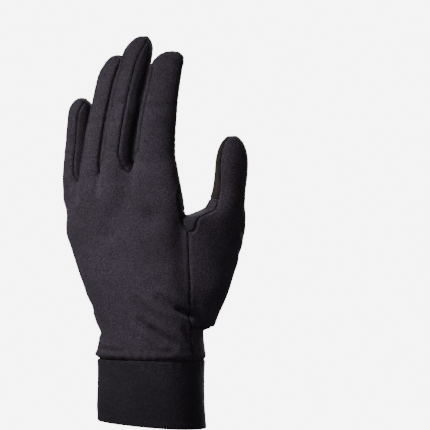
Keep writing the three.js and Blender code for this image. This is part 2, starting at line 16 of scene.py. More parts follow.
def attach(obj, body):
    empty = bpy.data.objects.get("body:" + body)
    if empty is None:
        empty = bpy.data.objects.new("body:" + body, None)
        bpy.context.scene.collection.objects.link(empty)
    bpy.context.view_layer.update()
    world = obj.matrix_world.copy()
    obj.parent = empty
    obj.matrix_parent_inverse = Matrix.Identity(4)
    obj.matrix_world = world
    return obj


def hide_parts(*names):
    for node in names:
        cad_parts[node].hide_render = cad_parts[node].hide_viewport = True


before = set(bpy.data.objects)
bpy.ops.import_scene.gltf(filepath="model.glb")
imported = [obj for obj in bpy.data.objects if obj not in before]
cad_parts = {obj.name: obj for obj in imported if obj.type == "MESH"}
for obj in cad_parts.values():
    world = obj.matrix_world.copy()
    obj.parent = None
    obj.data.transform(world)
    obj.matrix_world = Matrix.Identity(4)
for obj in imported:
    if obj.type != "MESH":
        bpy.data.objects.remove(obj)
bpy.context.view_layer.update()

MM = 0.001

# Camera
PHOTO_MM_PER_PX = 0.638
PHOTO_PX = 430
VIEW_AZIMUTH = 32.0
VIEW_ELEVATION = 0.5
VIEW_DISTANCE = 2400.0
VIEW_MIDDLE_RIGHT = 40.2
VIEW_MIDDLE_UP = 134.4
SENSOR = 36.0


def direction(azimuth, elevation):
    """Unit vector towards a place at angles in degrees. Azimuth 0 faces the back of the hand."""
    side, rise = math.radians(azimuth), math.radians(elevation)
    return Vector((math.sin(side) * math.cos(rise), -math.cos(side) * math.cos(rise), math.sin(rise)))


def set_up(name, data, place, back):
    """Adds a camera or lamp at a place in metres, with its back turned to a direction."""
    thing = bpy.data.objects.new(name, data)
    bpy.context.scene.collection.objects.link(thing)
    thing.location = place
    thing.rotation_mode = "QUATERNION"
    thing.rotation_quaternion = back.to_track_quat("Z", "Y")
    return thing


def set_up_camera():
    """A long lens at the photograph's angle, panned so that the liner stands left of the middle."""
    foot = Vector((0, 0, VIEW_MIDDLE_UP))
    place = foot + direction(VIEW_AZIMUTH, VIEW_ELEVATION) * VIEW_DISTANCE
    aim = foot + direction(VIEW_AZIMUTH + 90, 0) * VIEW_MIDDLE_RIGHT
    data = bpy.data.cameras.new("camera")
    data.sensor_width = SENSOR
    data.lens = SENSOR * VIEW_DISTANCE / (PHOTO_MM_PER_PX * PHOTO_PX)
    data.clip_start, data.clip_end = 0.05, 50
    bpy.context.scene.camera = set_up("camera", data, place * MM, place - aim)


set_up_camera()

# Sizes, as in the part's source
CLOTH_WALL = 1.1
CUFF_WALL = 2.2
CUFF_WIDTH = 73.0
CUFF_DEPTH = 52.0
CUFF_HEIGHT = 42.5
RIM_DROP = 4.6
WRIST_WIDTH = 72.0
WRIST_DEPTH = 50.0
PALM_HEIGHT = 118.0
PALM_BREADTH = 87.0
PALM_BACK_DEPTH = 18.0
PALM_FRONT_DEPTH = 12.5
HAND_LEAN = 20.0
KNUCKLE_TAN = math.tan(math.radians(14))
THUMB_WIDTH = 21.4
THUMB_DEPTH = 20.0
THUMB_RISE = 142.5
INDEX_PATCH_LENGTH = 33.0
THUMB_PATCH_LENGTH = 40.0
STRIP_WIDTH = 15.0
STRIP_MIDDLE_TURN = 53.0
KNUCKLE_Z = CUFF_HEIGHT + PALM_HEIGHT
HAND_SQUARE = 2.3
FINGER_SQUARE = 2.2
FINGER_CURVE = 1.55


def table(columns, *rows):
    """A table as a dict of its columns. The first column is the one it is read along."""
    return {name: np.array([row[i] for row in rows], float) for i, name in enumerate(columns.split())}


PALM_ROWS = table(
    "up lean fore broad back front",
    (0.0, 0.0, 0.0, -0.15, 0.0, 0.0),
    (0.045, 0.03, 0.0, 0.0, -0.02, -0.02),
    (0.12, 0.0, 0.0, -0.2, 0.12, 0.06),
    (0.26, 0.24, -0.08, -0.04, 0.42, 0.2),
    (0.37, 0.46, -0.12, 0.16, 0.64, 0.36),
    (0.48, 0.66, -0.12, 0.46, 0.78, 0.52),
    (0.59, 0.84, -0.12, 0.7, 0.92, 0.68),
    (0.69, 0.95, -0.12, 0.98, 1.0, 0.84),
    (0.8, 0.97, -0.1, 1.0, 1.04, 1.0),
    (0.88, 1.05, -0.1, 0.84, 1.12, 1.16),
    (0.94, 1.12, -0.1, 0.7, 1.32, 1.36),
    (1.0, 1.15, -0.1, 0.3, 1.8, 1.62),
    (1.04, 1.15, -0.1, -0.4, 2.4, 1.84),
)

# Widths of a finger along its rise, with its rounded end left to the cap below
FINGER_ROWS = {
    "round": table(
        "along wide deep",
        (-0.3, 0.86, 0.8),
        (-0.08, 1.02, 0.98),
        (0.09, 1.01, 1.0),
        (0.3, 0.97, 0.97),
        (0.55, 0.98, 0.95),
        (0.79, 0.97, 0.9),
        (1.0, 0.95, 0.86),
    ),
    "flat": table(
        "along wide deep",
        (-0.35, 0.86, 0.8),
        (-0.06, 1.0, 1.0),
        (0.08, 1.0, 1.0),
        (0.35, 0.97, 0.96),
        (0.54, 0.89, 0.9),
        (0.78, 0.85, 0.79),
        (0.92, 0.8, 0.68),
        (1.0, 0.74, 0.6),
    ),
}
# The cap of each tip: where it starts, as a share of the rise, and how square it is
TIP_CAP = {"round": (0.8, 2.2), "flat": (0.84, 3.6)}

FINGER_SIZES = "width depth rise side fore bend curl turn strip lean tip".split()
FINGERS = {
    "index": dict(zip(FINGER_SIZES, (25.4, 17, 71.4, 0.322, -0.19, 0.034, 0.19, 22, 52, 1.2, "flat"))),
    "middle": dict(zip(FINGER_SIZES, (21.2, 20, 88.6, 0.036, -0.49, 0.054, 0.265, 4, 58, 0, "round"))),
    "ring": dict(zip(FINGER_SIZES, (19, 18, 80.8, -0.182, -0.31, 0.045, 0.26, -6, 46, 0, "round"))),
    "little": dict(zip(FINGER_SIZES, (17.4, 16.5, 58.3, -0.387, 0, -0.01, 0.13, -14, 72, 0, "round"))),
}
# Shares of a finger's rise where its hidden root starts to close and where it ends, and where its lean starts
FINGER_ROOT = (-0.1, -0.3)
LEAN_FROM = 0.84

THUMB_ROWS = table(
    "up side fore long short turn seam",
    (0.12, 0.25, 0.16, 0.6, 0.6, 45, 0),
    (0.15, 0.265, 0.175, 1.4, 1.15, 45, 0),
    (0.2, 0.275, 0.2, 1.54, 1.3, 45, 0),
    (0.32, 0.31, 0.25, 1.87, 1.5, 45, 0),
    (0.44, 0.342, 0.3, 2.06, 1.4, 50, 0),
    (0.57, 0.38, 0.355, 2.2, 1.24, 57, 0.16),
    (0.63, 0.402, 0.385, 2.16, 1.15, 60, 0.16),
    (0.68, 0.452, 0.495, 1.2, 1.08, 60, 0.15),
    (0.78, 0.471, 0.538, 1.0, 1.0, 60, 0.08),
    (0.87, 0.482, 0.545, 0.96, 0.96, 60, 0),
    (1.0, 0.488, 0.55, 0.92, 0.9, 60, 0),
)
THUMB_CAP = (0.86, 2.3)
THUMB_ROOT = (0.16, 0.12)

STRIP_ROWS = table(
    "along spread",
    (-0.2, 0.06),
    (-0.13, 0.12),
    (-0.03, 0.3),
    (0.05, 0.66),
    (0.14, 1),
    (0.78, 1),
    (0.88, 0.84),
    (0.95, 0.5),
    (1.0, 0.12),
)

THUMB_ZONE = table(
    "up side fore from to",
    (0.175, 0.14, 0.02, -21, 90),
    (0.31, 0.12, 0.02, -16, 90),
    (0.48, 0.13, 0.02, -14, 90),
    (0.69, 0.17, 0.02, -17, 92),
    (0.735, 0.18, 0.0, -22, 94),
    (0.79, 0.26, 0.0, -28, 112),
    (0.86, 0.31, 0.1, -28, 152),
    (1.35, 0.31, 0.1, -28, 152),
)

SIDE_SEAM_ROWS = table(
    "up thumb_side other_side",
    (0.0, -0.4, 0.36),
    (0.17, -0.38, 0.36),
    (0.24, 0.0, 0.34),
    (0.67, 0.0, 0.25),
    (0.74, -0.12, 0.22),
    (0.86, -0.24, 0.2),
    (0.95, 0.0, 0.2),
    (1.0, 0.1, 0.2),
)
WEB_SEAM_UP = 0.69
THUMB_SEAM_TURN = -103

CUFF_ROWS = table("up swell", (0.0, 1.0), (0.12, 0.988), (0.4, 0.966), (0.75, 0.96), (1.0, 0.965))


def read_row(rows, column, at):
    """One column of a table at values of its first column, on a smooth curve through the rows."""
    key = next(iter(rows.values()))
    value = rows[column]
    at = np.asarray(at, float)
    slopes = np.diff(value) / np.diff(key)
    tangents = np.empty(len(key))
    tangents[0], tangents[-1] = slopes[0], slopes[-1]
    product = slopes[:-1] * slopes[1:]
    total = slopes[:-1] + slopes[1:]
    tangents[1:-1] = np.where(product > 0, 2 * product / np.where(total == 0, 1, total), 0)
    i = np.clip(np.searchsorted(key, at, side="right") - 1, 0, len(key) - 2)
    span = key[i + 1] - key[i]
    t = np.clip((at - key[i]) / span, 0, 1)
    t2, t3 = t * t, t * t * t
    return (
        value[i] * (2 * t3 - 3 * t2 + 1)
        + value[i + 1] * (3 * t2 - 2 * t3)
        + span * (tangents[i] * (t3 - 2 * t2 + t) + tangents[i + 1] * (t3 - t2))
    )


def mix(a, b, share):
    return a + (b - a) * share


def smooth_step(value, low, high):
    t = np.clip((value - low) / (high - low), 0, 1)
    return t * t * (3 - 2 * t)


# The hand's form as a field
def cap_at(share, start, end):
    """How far into a rounded end a share lies: 0 where the end starts, 1 at its tip."""
    return np.clip((share - start) / (end - start), 0, 3)


def turned(dx, dy, turn):
    """A step in a section's own axes."""
    return dx * np.cos(turn) + dy * np.sin(turn), dy * np.cos(turn) - dx * np.sin(turn)


def rounded(px, py, half, depth, square, cap=0.0, cap_height=1.0, cap_square=2.0):
    """About how far, in mm, a point lies outside a rounded section that may end in a cap."""
    u = np.abs(px) / half
    v = np.abs(py) / depth
    total = u**square + v**square + cap**cap_square
    r = np.maximum(total, 1e-4) ** (1 / square)
    gu = u ** (square - 1) / half
    gv = v ** (square - 1) / depth
    gw = (cap_square / square) * cap ** (cap_square - 1) / cap_height
    steep = np.sqrt(gu * gu + gv * gv + gw * gw) * r ** (1 - square)
    return (r - 1) / np.maximum(steep, 0.5 / np.maximum(half, depth))


def hand_section(up):
    """Place and size of the hand's section at a share of PALM_HEIGHT."""
    return dict(
        x=-HAND_LEAN * read_row(PALM_ROWS, "lean", up),
        y=PALM_FRONT_DEPTH * read_row(PALM_ROWS, "fore", up),
        half=mix(WRIST_WIDTH, PALM_BREADTH, read_row(PALM_ROWS, "broad", up)) / 2,
        back=mix(WRIST_DEPTH / 2, PALM_BACK_DEPTH, read_row(PALM_ROWS, "back", up)),
        front=mix(WRIST_DEPTH / 2, PALM_FRONT_DEPTH, read_row(PALM_ROWS, "front", up)),
    )


# Share of PALM_HEIGHT where the sections start to slope with the knuckles
SLOPE_FROM = 0.7
HAND_TOP = 1.035
HAND_CAP = (0.965, 2.3)


def hand_up(x, z):
    """Share of PALM_HEIGHT at a point, on sections that slope with the knuckles near the top."""
    level = (z - CUFF_HEIGHT) / PALM_HEIGHT
    up = level
    for _ in range(3):
        middle = -HAND_LEAN * read_row(PALM_ROWS, "lean", up)
        up = level - KNUCKLE_TAN * smooth_step(up, SLOPE_FROM, 1) * (x - middle) / PALM_HEIGHT
    return up


def hand_away(p):
    x, y, z = p
    up = hand_up(x, z)
    section = hand_section(np.clip(up, 0, HAND_TOP))
    py = y - section["y"]
    depth = np.where(py < 0, section["back"], section["front"])
    cap_from, cap_square = HAND_CAP
    cap = cap_at(up, cap_from, HAND_TOP)
    height = (HAND_TOP - cap_from) * PALM_HEIGHT
    return rounded(x - section["x"], py, section["half"], depth, HAND_SQUARE, cap, height, cap_square)


def root_z(finger):
    return KNUCKLE_Z + KNUCKLE_TAN * finger["side"] * PALM_BREADTH


def finger_middle(finger, along):
    """Middle line of a finger at a share of its rise."""
    curve = np.sign(along) * np.abs(along) ** FINGER_CURVE
    palm = hand_section(1.0)
    x = palm["x"] + finger["side"] * PALM_BREADTH + finger["bend"] * finger["rise"] * curve
    x = x + finger["lean"] * smooth_step(along, LEAN_FROM, 1)
    y = palm["y"] + finger["fore"] * PALM_BACK_DEPTH + finger["curl"] * finger["rise"] * curve
    return x, y


def finger_along(finger, z):
    return (z - root_z(finger)) / finger["rise"]


def finger_away(finger, p):
    x, y, z = p
    along = finger_along(finger, z)
    inside = np.clip(along, FINGER_ROOT[1], 1)
    mx, my = finger_middle(finger, inside)
    rows = FINGER_ROWS[finger["tip"]]
    half = read_row(rows, "wide", inside) * finger["width"] / 2
    depth = read_row(rows, "deep", inside) * finger["depth"] / 2
    px, py = turned(x - mx, y - my, math.radians(finger["turn"]))
    cap_from, cap_square = TIP_CAP[finger["tip"]]
    cap = np.maximum(cap_at(along, cap_from, 1), cap_at(along, *FINGER_ROOT))
    return rounded(px, py, half, depth, FINGER_SQUARE, cap, (1 - cap_from) * finger["rise"], cap_square)


def thumb_at(up):
    read = lambda column: read_row(THUMB_ROWS, column, up)
    return dict(
        x=PALM_BREADTH * read("side"),
        y=CUFF_DEPTH * read("fore"),
        half=THUMB_WIDTH * read("long") / 2,
        deep=THUMB_DEPTH * read("short") / 2,
        turn=np.radians(read("turn")),
    )


def thumb_away(p):
    x, y, z = p
    up = (z - CUFF_HEIGHT) / THUMB_RISE
    row = thumb_at(np.clip(up, THUMB_ROOT[1], 1))
    px, py = turned(x - row["x"], y - row["y"], row["turn"])
    cap_from, cap_square = THUMB_CAP
    cap = np.maximum(cap_at(up, cap_from, 1), cap_at(up, *THUMB_ROOT))
    height = (1 - cap_from) * THUMB_RISE
    return rounded(px, py, row["half"], row["deep"], HAND_SQUARE, cap, height, cap_square)


def blend(a, b, reach):
    """The lower of two fields, rounded where they meet."""
    h = np.clip(0.5 + 0.5 * (b - a) / reach, 0, 1)
    return mix(b, a, h) - reach * h * (1 - h)


FINGER_BLEND = 1.2
KNUCKLE_BLEND = 5.0
THUMB_BLEND = 5.0


def glove_away(p):
    """About how far, in mm, a point lies outside the worn liner's outer face."""
    fingers = None
    for finger in FINGERS.values():
        away = finger_away(finger, p)
        fingers = away if fingers is None else blend(fingers, away, FINGER_BLEND)
    hand = blend(hand_away(p), fingers, KNUCKLE_BLEND)
    return blend(hand, thumb_away(p), THUMB_BLEND)


# Its surface as a mesh
GRID_STEP = 1.05
GRID_LOW = np.array([-68.0, -27.0, CUFF_HEIGHT - 0.65])
GRID_HIGH = np.array([57.0, 47.0, 252.0])
TUCK_DROP = 0.15
RIM_ROUNDS = 12
LONGEST_MOVE = 1.5


def slope_of(points, step=0.25):
    """The field at each point and its gradient there."""
    parts = []
    for shift in np.eye(3) * step:
        parts.append((glove_away((points + shift).T) - glove_away((points - shift).T)) / (2 * step))
    return glove_away(points.T), np.stack(parts, axis=1)


def onto_surface(points, rounds=2):
    for _ in range(rounds):
        value, gradient = slope_of(points)
        length2 = np.maximum((gradient**2).sum(axis=1), 0.05)
        points = points - (np.clip(value, -LONGEST_MOVE, LONGEST_MOVE) / length2)[:, None] * gradient
    return points


def surface_net():
    """Quads round the glove's outer face, one vertex in each grid cell that the face passes through."""
    axes = [np.arange(low, high, GRID_STEP) for low, high in zip(GRID_LOW, GRID_HIGH)]
    field = np.empty([len(a) for a in axes], np.float32)
    gy, gz = np.meshgrid(axes[1], axes[2], indexing="ij")
    for i, x in enumerate(axes[0]):
        field[i] = glove_away((np.full(gy.shape, x), gy, gz))
    inside = field < 0
    cells = [n - 1 for n in field.shape]
    count = np.zeros(cells, np.uint8)
    for i in (0, 1):
        for j in (0, 1):
            for k in (0, 1):
                count += inside[i : i + cells[0], j : j + cells[1], k : k + cells[2]]
    active = (count > 0) & (count < 8)
    number = np.full(cells, -1)
    number[active] = np.arange(active.sum())
    points = (np.argwhere(active) + 0.5) * GRID_STEP + GRID_LOW
    quads = []
    for axis in range(3):
        b, c = [(axis + 1) % 3, (axis + 2) % 3]
        near = [slice(1, -1)] * 3
        near[axis] = slice(0, -1)
        far = list(near)
        far[axis] = slice(1, None)
        low, high = inside[tuple(near)], inside[tuple(far)]
        for sign, change in ((1, low & ~high), (-1, high & ~low)):
            spots = np.argwhere(change)
            spots[:, b] += 1
            spots[:, c] += 1
            ring = []
            for db, dc in ((-1, -1), (0, -1), (0, 0), (-1, 0))[::sign]:
                cell = spots.copy()
                cell[:, b] += db
                cell[:, c] += dc
                ring.append(number[tuple(cell.T)])
            quads.append(np.stack(ring, axis=1))
    quads = np.concatenate(quads)
    return points, quads[(quads >= 0).all(axis=1)]


def neighbour_mean(count, pairs, values):
    """The mean of the values at the other ends of each vertex's edges."""
    total = np.zeros((count, values.shape[1]))
    number = np.zeros(count)
    for a, b in (pairs, pairs[::-1]):
        np.add.at(total, a, values[b])
        np.add.at(number, a, 1)
    return total / np.maximum(number, 1)[:, None]


def sides_of(faces):
    """Every side of every face, as a sorted pair of vertices."""
    width = faces.shape[1]
    pairs = np.concatenate([faces[:, [i, (i + 1) % width]] for i in range(width)])
    return np.sort(pairs, axis=1)


def edges_of(faces):
    return np.unique(sides_of(faces), axis=0).T


def open_edges(faces):
    unique, counts = np.unique(sides_of(faces), axis=0, return_counts=True)
    return unique[counts == 1]


def relax(points, faces, rounds, held=None):
    """Evens out a mesh on the glove's outer face."""
    pairs = edges_of(faces)
    held = np.zeros(len(points), bool) if held is None else held
    for _ in range(rounds):
        middle = neighbour_mean(len(points), pairs, points)
        moved = onto_surface(mix(points, middle, 0.6), 1)
        points = np.where(held[:, None], points, moved)
    return points


def even_rim(points, rim):
    """Spaces the lower edge's points evenly round the wrist, all at one height."""
    wrist = hand_section(0.0)
    shape = points[rim, :2] - [wrist["x"], wrist["y"]]
    order = rim[np.argsort(np.arctan2(shape[:, 1], shape[:, 0]))]
    ring = points[order]
    ring[:, 2] = CUFF_HEIGHT - TUCK_DROP
    for _ in range(RIM_ROUNDS):
        ring = mix(ring, (np.roll(ring, 1, axis=0) + np.roll(ring, -1, axis=0)) / 2, 0.5)
        ring = onto_surface(ring, 1)
        ring[:, 2] = CUFF_HEIGHT - TUCK_DROP
    points[order] = ring
    return points


def build_skin():
    points, quads = surface_net()
    rim = np.unique(open_edges(quads))
    points = onto_surface(points, 3)
    held = np.zeros(len(points), bool)
    held[rim] = True
    points = even_rim(points, rim)
    points = relax(points, quads, 4, held)
    tris = np.concatenate([quads[:, [0, 1, 2]], quads[:, [0, 2, 3]]])
    return points, tris


# Zones of the panels
def strip_value(finger, side, p):
    """How far inside the strip on one side of a finger a point lies. side is 1 towards the thumb."""
    x, y, z = p
    along = finger_along(finger, z)
    mx, my = finger_middle(finger, np.clip(along, FINGER_ROOT[1], 1))
    spread = read_row(STRIP_ROWS, "spread", along)
    half = np.radians(finger["strip"] * spread)
    value = side * (x - mx) * np.sin(half) - np.abs(y - my) * np.cos(half)
    low = (along - STRIP_ROWS["along"][0]) * finger["rise"]
    return np.minimum(value, low)


def between_value(thumb_side_finger, other_finger, p):
    """How far inside the strip between two fingers a point lies."""
    a = finger_away(FINGERS[thumb_side_finger], p)
    b = finger_away(FINGERS[other_finger], p)
    nearer_a = a < b
    value = np.where(
        nearer_a,
        strip_value(FINGERS[thumb_side_finger], -1, p),
        strip_value(FINGERS[other_finger], 1, p),
    )
    nearest = np.minimum(a, b)
    for name, finger in FINGERS.items():
        if name not in (thumb_side_finger, other_finger):
            value = np.where(finger_away(finger, p) < nearest - 0.5, -5.0, value)
    return value


def thumb_cloth_value(p):
    x, y, z = p
    up = (z - CUFF_HEIGHT) / PALM_HEIGHT
    px = PALM_BREADTH * read_row(THUMB_ZONE, "side", up)
    py = PALM_BREADTH * read_row(THUMB_ZONE, "fore", up)
    start = np.radians(read_row(THUMB_ZONE, "from", up))
    end = np.radians(read_row(THUMB_ZONE, "to", up))
    dx, dy = x - px, y - py
    first = np.cos(start) * dy - np.sin(start) * dx
    second = dx * np.sin(end) - dy * np.cos(end)
    bottom = z - CUFF_HEIGHT - THUMB_ZONE["up"][0] * PALM_HEIGHT
    return np.minimum(np.minimum(first, second), bottom)


def thumb_inner_value(p):
    x, y, z = p
    up = np.clip((z - CUFF_HEIGHT) / THUMB_RISE, 0.5, 1)
    row = thumb_at(up)
    ahead = math.radians(THUMB_SEAM_TURN)
    out = THUMB_WIDTH * read_row(THUMB_ROWS, "seam", up)
    mx = row["x"] - out * math.sin(ahead)
    my = row["y"] + out * math.cos(ahead)
    value = (x - mx) * math.sin(ahead) - (y - my) * math.cos(ahead)
    return np.minimum(value, z - CUFF_HEIGHT - WEB_SEAM_UP * PALM_HEIGHT)


# Where the seam between back and palm changes from the hand to the fingers, and its place on the two outer
# fingers: shares of the finger's depth forwards and of its width sideways
SEAM_CHANGE = (0.9, 1.08)
LITTLE_SEAM = (0.2, -0.3)
INDEX_SEAM = (0.28, 0.3)


def palm_value(p):
    """How far towards the palm a point lies from the seams that join back and palm."""
    x, y, z = p
    share = (z - CUFF_HEIGHT) / PALM_HEIGHT
    up = np.clip(share, 0, 1)
    palm = hand_section(up)
    middles = {}
    for name, finger in FINGERS.items():
        middles[name] = finger_middle(finger, np.clip(finger_along(finger, z), 0, 1))
    ends = []
    outer = (("little", "other_side", LITTLE_SEAM), ("index", "thumb_side", INDEX_SEAM))
    for name, column, (fore, side) in outer:
        (mx, my), finger = middles[name], FINGERS[name]
        low = palm["y"] + PALM_BACK_DEPTH * read_row(SIDE_SEAM_ROWS, column, up)
        high = my + fore * finger["depth"]
        ends.append((mx + side * finger["width"], mix(low, high, smooth_step(share, *SEAM_CHANGE))))
    knots = [ends[0], *(middles[name] for name in ("little", "ring", "middle", "index")), ends[1]]
    line = np.where(x < knots[0][0], knots[0][1], knots[-1][1])
    for (xa, ya), (xb, yb) in zip(knots, knots[1:]):
        t = np.clip((x - xa) / (xb - xa), 0, 1)
        line = np.where((x >= xa) & (x < xb), mix(ya, yb, t), line)
    return y - line


# A cut this near a vertex, as a share of the edge, moves the vertex onto it
SNAP_SHARE = 0.3


def cut(points, tris, labels, which, value, inside_label):
    """Cuts the triangles of one label along value = 0 and gives those inside a new label."""
    value = value.copy()
    mine = np.isin(labels, which)
    pairs = edges_of(tris[mine])
    crossing = value[pairs[0]] * value[pairs[1]] < 0
    a, b = pairs[0][crossing], pairs[1][crossing]
    t = value[a] / (value[a] - value[b])
    order = np.argsort(np.minimum(t, 1 - t))
    for k in order:
        near, share = (a[k], t[k]) if t[k] < 0.5 else (b[k], 1 - t[k])
        if share < SNAP_SHARE and value[near] != 0:
            other = b[k] if near == a[k] else a[k]
            points[near] = mix(points[near], points[other], share)
            value[near] = 0
    crossing = value[pairs[0]] * value[pairs[1]] < 0
    a, b = pairs[0][crossing], pairs[1][crossing]
    t = value[a] / (value[a] - value[b])
    fresh = mix(points[a], points[b], t[:, None])
    number = {(int(i), int(j)): len(points) + k for k, (i, j) in enumerate(zip(a, b))}
    points = np.concatenate([points, fresh])
    value = np.concatenate([value, np.zeros(len(fresh))])
    keys = set(number)
    ends = np.zeros(len(points), bool)
    ends[a] = ends[b] = True
    suspects = np.flatnonzero(ends[tris].sum(axis=1) >= 2)
    kept = np.ones(len(tris), bool)
    new_tris, new_labels = [], []
    for f in suspects:
        tri = [int(v) for v in tris[f]]
        marks = []
        for i in range(3):
            edge = tuple(sorted((tri[i], tri[(i + 1) % 3])))
            marks.append(number[edge] if edge in keys else None)
        hits = [i for i in range(3) if marks[i] is not None]
        if not hits:
            continue
        kept[f] = False
        if len(hits) == 1:
            i = hits[0]
            p, q, r = tri[i], tri[(i + 1) % 3], tri[(i + 2) % 3]
            parts = [(p, marks[i], r), (marks[i], q, r)]
        elif len(hits) == 2:
            i = 3 - sum(hits)
            p, q, r = tri[i], tri[(i + 1) % 3], tri[(i + 2) % 3]
            mq, mr = marks[(i + 1) % 3], marks[(i + 2) % 3]
            parts = [(mq, r, mr), (p, q, mq), (p, mq, mr)]
        else:
            p, q, r = tri
            parts = [(p, marks[0], marks[2]), (marks[0], q, marks[1]), (marks[1], r, marks[2]), tuple(marks)]
        new_tris += parts
        new_labels += [labels[f]] * len(parts)
    if new_tris:
        tris = np.concatenate([tris[kept], np.array(new_tris)])
        labels = np.concatenate([labels[kept], np.array(new_labels)])
    mine = np.isin(labels, which)
    signs = value[tris].sum(axis=1)
    labels = np.where(mine & (signs > 0), inside_label, labels)
    return points, tris, labels


# Node of the CAD model: its cloth, its material slot, its flat cut (width, length in mm, area in mm2).
# The cuff's cut is that of the folded band. The tab is too narrow for a sheet of its own.
PARTS = {
    "back_panel": ("back_cloth", "knit", (150, 209, 16900)),
    "palm_panel": ("palm_cloth", "knit", (120, 209, 14250)),
    # The inset_knit slot is the hand's knit made darker: painted shade on the strips between the fingers and
    # on the thumb's inner panel
    "fourchette_index_middle": ("strip_index_middle", "inset_knit", (60, 91, 2900)),
    "fourchette_middle_ring": ("strip_middle_ring", "inset_knit", (48, 91, 1940)),
    "fourchette_ring_little": ("strip_ring_little", "inset_knit", (60, 87, 2030)),
    "thumb_outer_panel": ("thumb_outer_cloth", "knit", (85, 125, 6900)),
    "thumb_inner_panel": ("thumb_inner_cloth", "inset_knit", (44, 46, 1300)),
    "thumb_touch_patch": ("thumb_touch_cloth", "touch_patch", (36, 46, 1300)),
    "index_touch_patch": ("index_touch_cloth", "touch_patch", (21, 36, 500)),
    "cuff": ("cuff_band", "cuff_knit", (217, 42, None)),
    "cuff_strip": ("grain_strip", "strip", (15, 42, None)),
    "label_tab": ("bare_tab", "tab", None),
}
PANELS = [name for name in PARTS if name not in ("cuff", "cuff_strip", "label_tab")]


def cut_panels(points, tris):
    label = {name: i for i, name in enumerate(PANELS)}
    labels = np.zeros(len(tris), int)

    def trim(inside, value_of, *which):
        nonlocal points, tris, labels
        value = value_of(points.T)
        which = [label[name] for name in which]
        points, tris, labels = cut(points, tris, labels, which, value, label[inside])

    trim("thumb_outer_panel", thumb_cloth_value, "back_panel")
    trim("thumb_inner_panel", thumb_inner_value, "thumb_outer_panel")
    thumb_hem = CUFF_HEIGHT + THUMB_RISE - THUMB_PATCH_LENGTH
    trim("thumb_touch_patch", lambda p: p[2] - thumb_hem, "thumb_inner_panel")
    for a, b in (("index", "middle"), ("middle", "ring"), ("ring", "little")):
        trim(f"fourchette_{a}_{b}", lambda p: between_value(a, b, p), "back_panel")
    trim("palm_panel", palm_value, "back_panel")
    index = FINGERS["index"]
    hem = root_z(index) + index["rise"] - INDEX_PATCH_LENGTH
    hem_x = finger_middle(index, finger_along(index, hem))[0] - index["width"] / 2
    trim("index_touch_patch", lambda p: np.minimum(p[2] - hem, p[0] - hem_x), "palm_panel")
    return points, tris, drop_specks(tris, labels)


def face_neighbours(tris):
    """The triangles that share an edge with each triangle."""
    owners = {}
    for f, tri in enumerate(tris.tolist()):
        for i in range(3):
            owners.setdefault(tuple(sorted((tri[i], tri[(i + 1) % 3]))), []).append(f)
    neighbours = [[] for _ in range(len(tris))]
    for faces in owners.values():
        if len(faces) == 2:
            neighbours[faces[0]].append(faces[1])
            neighbours[faces[1]].append(faces[0])
    return neighbours


def islands_of(labels, neighbours):
    """Joined triangles of one label, as lists."""
    seen = np.zeros(len(labels), bool)
    islands = []
    for start in range(len(labels)):
        if seen[start]:
            continue
        seen[start] = True
        stack, found = [start], []
        while stack:
            f = stack.pop()
            found.append(f)
            for g in neighbours[f]:
                if not seen[g] and labels[g] == labels[start]:
                    seen[g] = True
                    stack.append(g)
        islands.append(found)
    return islands


SPECK_ROUNDS = 3


def drop_specks(tris, labels):
    """Gives every small island of a label to the label round it."""
    neighbours = face_neighbours(tris)
    for _ in range(SPECK_ROUNDS):
        islands = islands_of(labels, neighbours)
        biggest = {}
        for found in islands:
            key = labels[found[0]]
            biggest[key] = max(biggest.get(key, 0), len(found))
        changed = False
        for found in islands:
            if len(found) < biggest[labels[found[0]]]:
                around = [labels[g] for f in found for g in neighbours[f] if labels[g] != labels[f]]
                if around:
                    labels[found] = max(set(around), key=around.count)
                    changed = True
        if not changed:
            break
    return labels


points, tris = build_skin()
points, tris, labels = cut_panels(points, tris)


# Seams
SEAM_SPACING = 0.4
SEAM_ROUNDS = 6


def chains(edges):
    """Edges as point lists from end to end. A closed ring starts and ends at the same point."""
    links = {}
    for a, b in edges:
        links.setdefault(a, []).append(b)
        links.setdefault(b, []).append(a)
    used = set()
    lines = []
    starts = [v for v, near in links.items() if len(near) != 2] + list(links)
    for start in starts:
        for second in links[start]:
            if (start, second) in used:
                continue
            line = [start, second]
            used |= {(start, second), (second, start)}
            while len(links[line[-1]]) == 2:
                ahead = [v for v in links[line[-1]] if (line[-1], v) not in used]
                if not ahead:
                    break
                used |= {(line[-1], ahead[0]), (ahead[0], line[-1])}
                line.append(ahead[0])
            lines.append(line)
    return lines


def find_seams(tris, labels):
    """The seam lines between panels: {(label, label): [point lists]}."""
    pairs = sides_of(tris)
    owner = np.tile(labels, 3)
    order = np.lexsort((pairs[:, 1], pairs[:, 0]))
    pairs, owner = pairs[order], owner[order]
    twins = (pairs[:-1] == pairs[1:]).all(axis=1) & (owner[:-1] != owner[1:])
    seams = {}
    for k in np.flatnonzero(twins):
        key = tuple(sorted((int(owner[k]), int(owner[k + 1]))))
        seams.setdefault(key, []).append((int(pairs[k, 0]), int(pairs[k, 1])))
    return {key: chains(edges) for key, edges in seams.items()}


def settle_seams(points, tris, seams):
    """Evens out the seam lines along themselves, then the cloth between them."""
    rim = np.unique(open_edges(tris))
    held = np.zeros(len(points), bool)
    held[rim] = True
    for _ in range(SEAM_ROUNDS):
        moved = points.copy()
        for lines in seams.values():
            for line in lines:
                if len(line) > 3:
                    inner = np.array(line[1:-1])
                    middle = (points[line[:-2]] + points[line[2:]]) / 2
                    moved[inner] = mix(points[inner], middle, 0.5)
        points = np.where(held[:, None], points, moved)
    for lines in seams.values():
        for line in lines:
            held[line] = True
    onto = onto_surface(points, 2)
    onto[rim] = points[rim]
    return relax(onto, tris, 3, held)


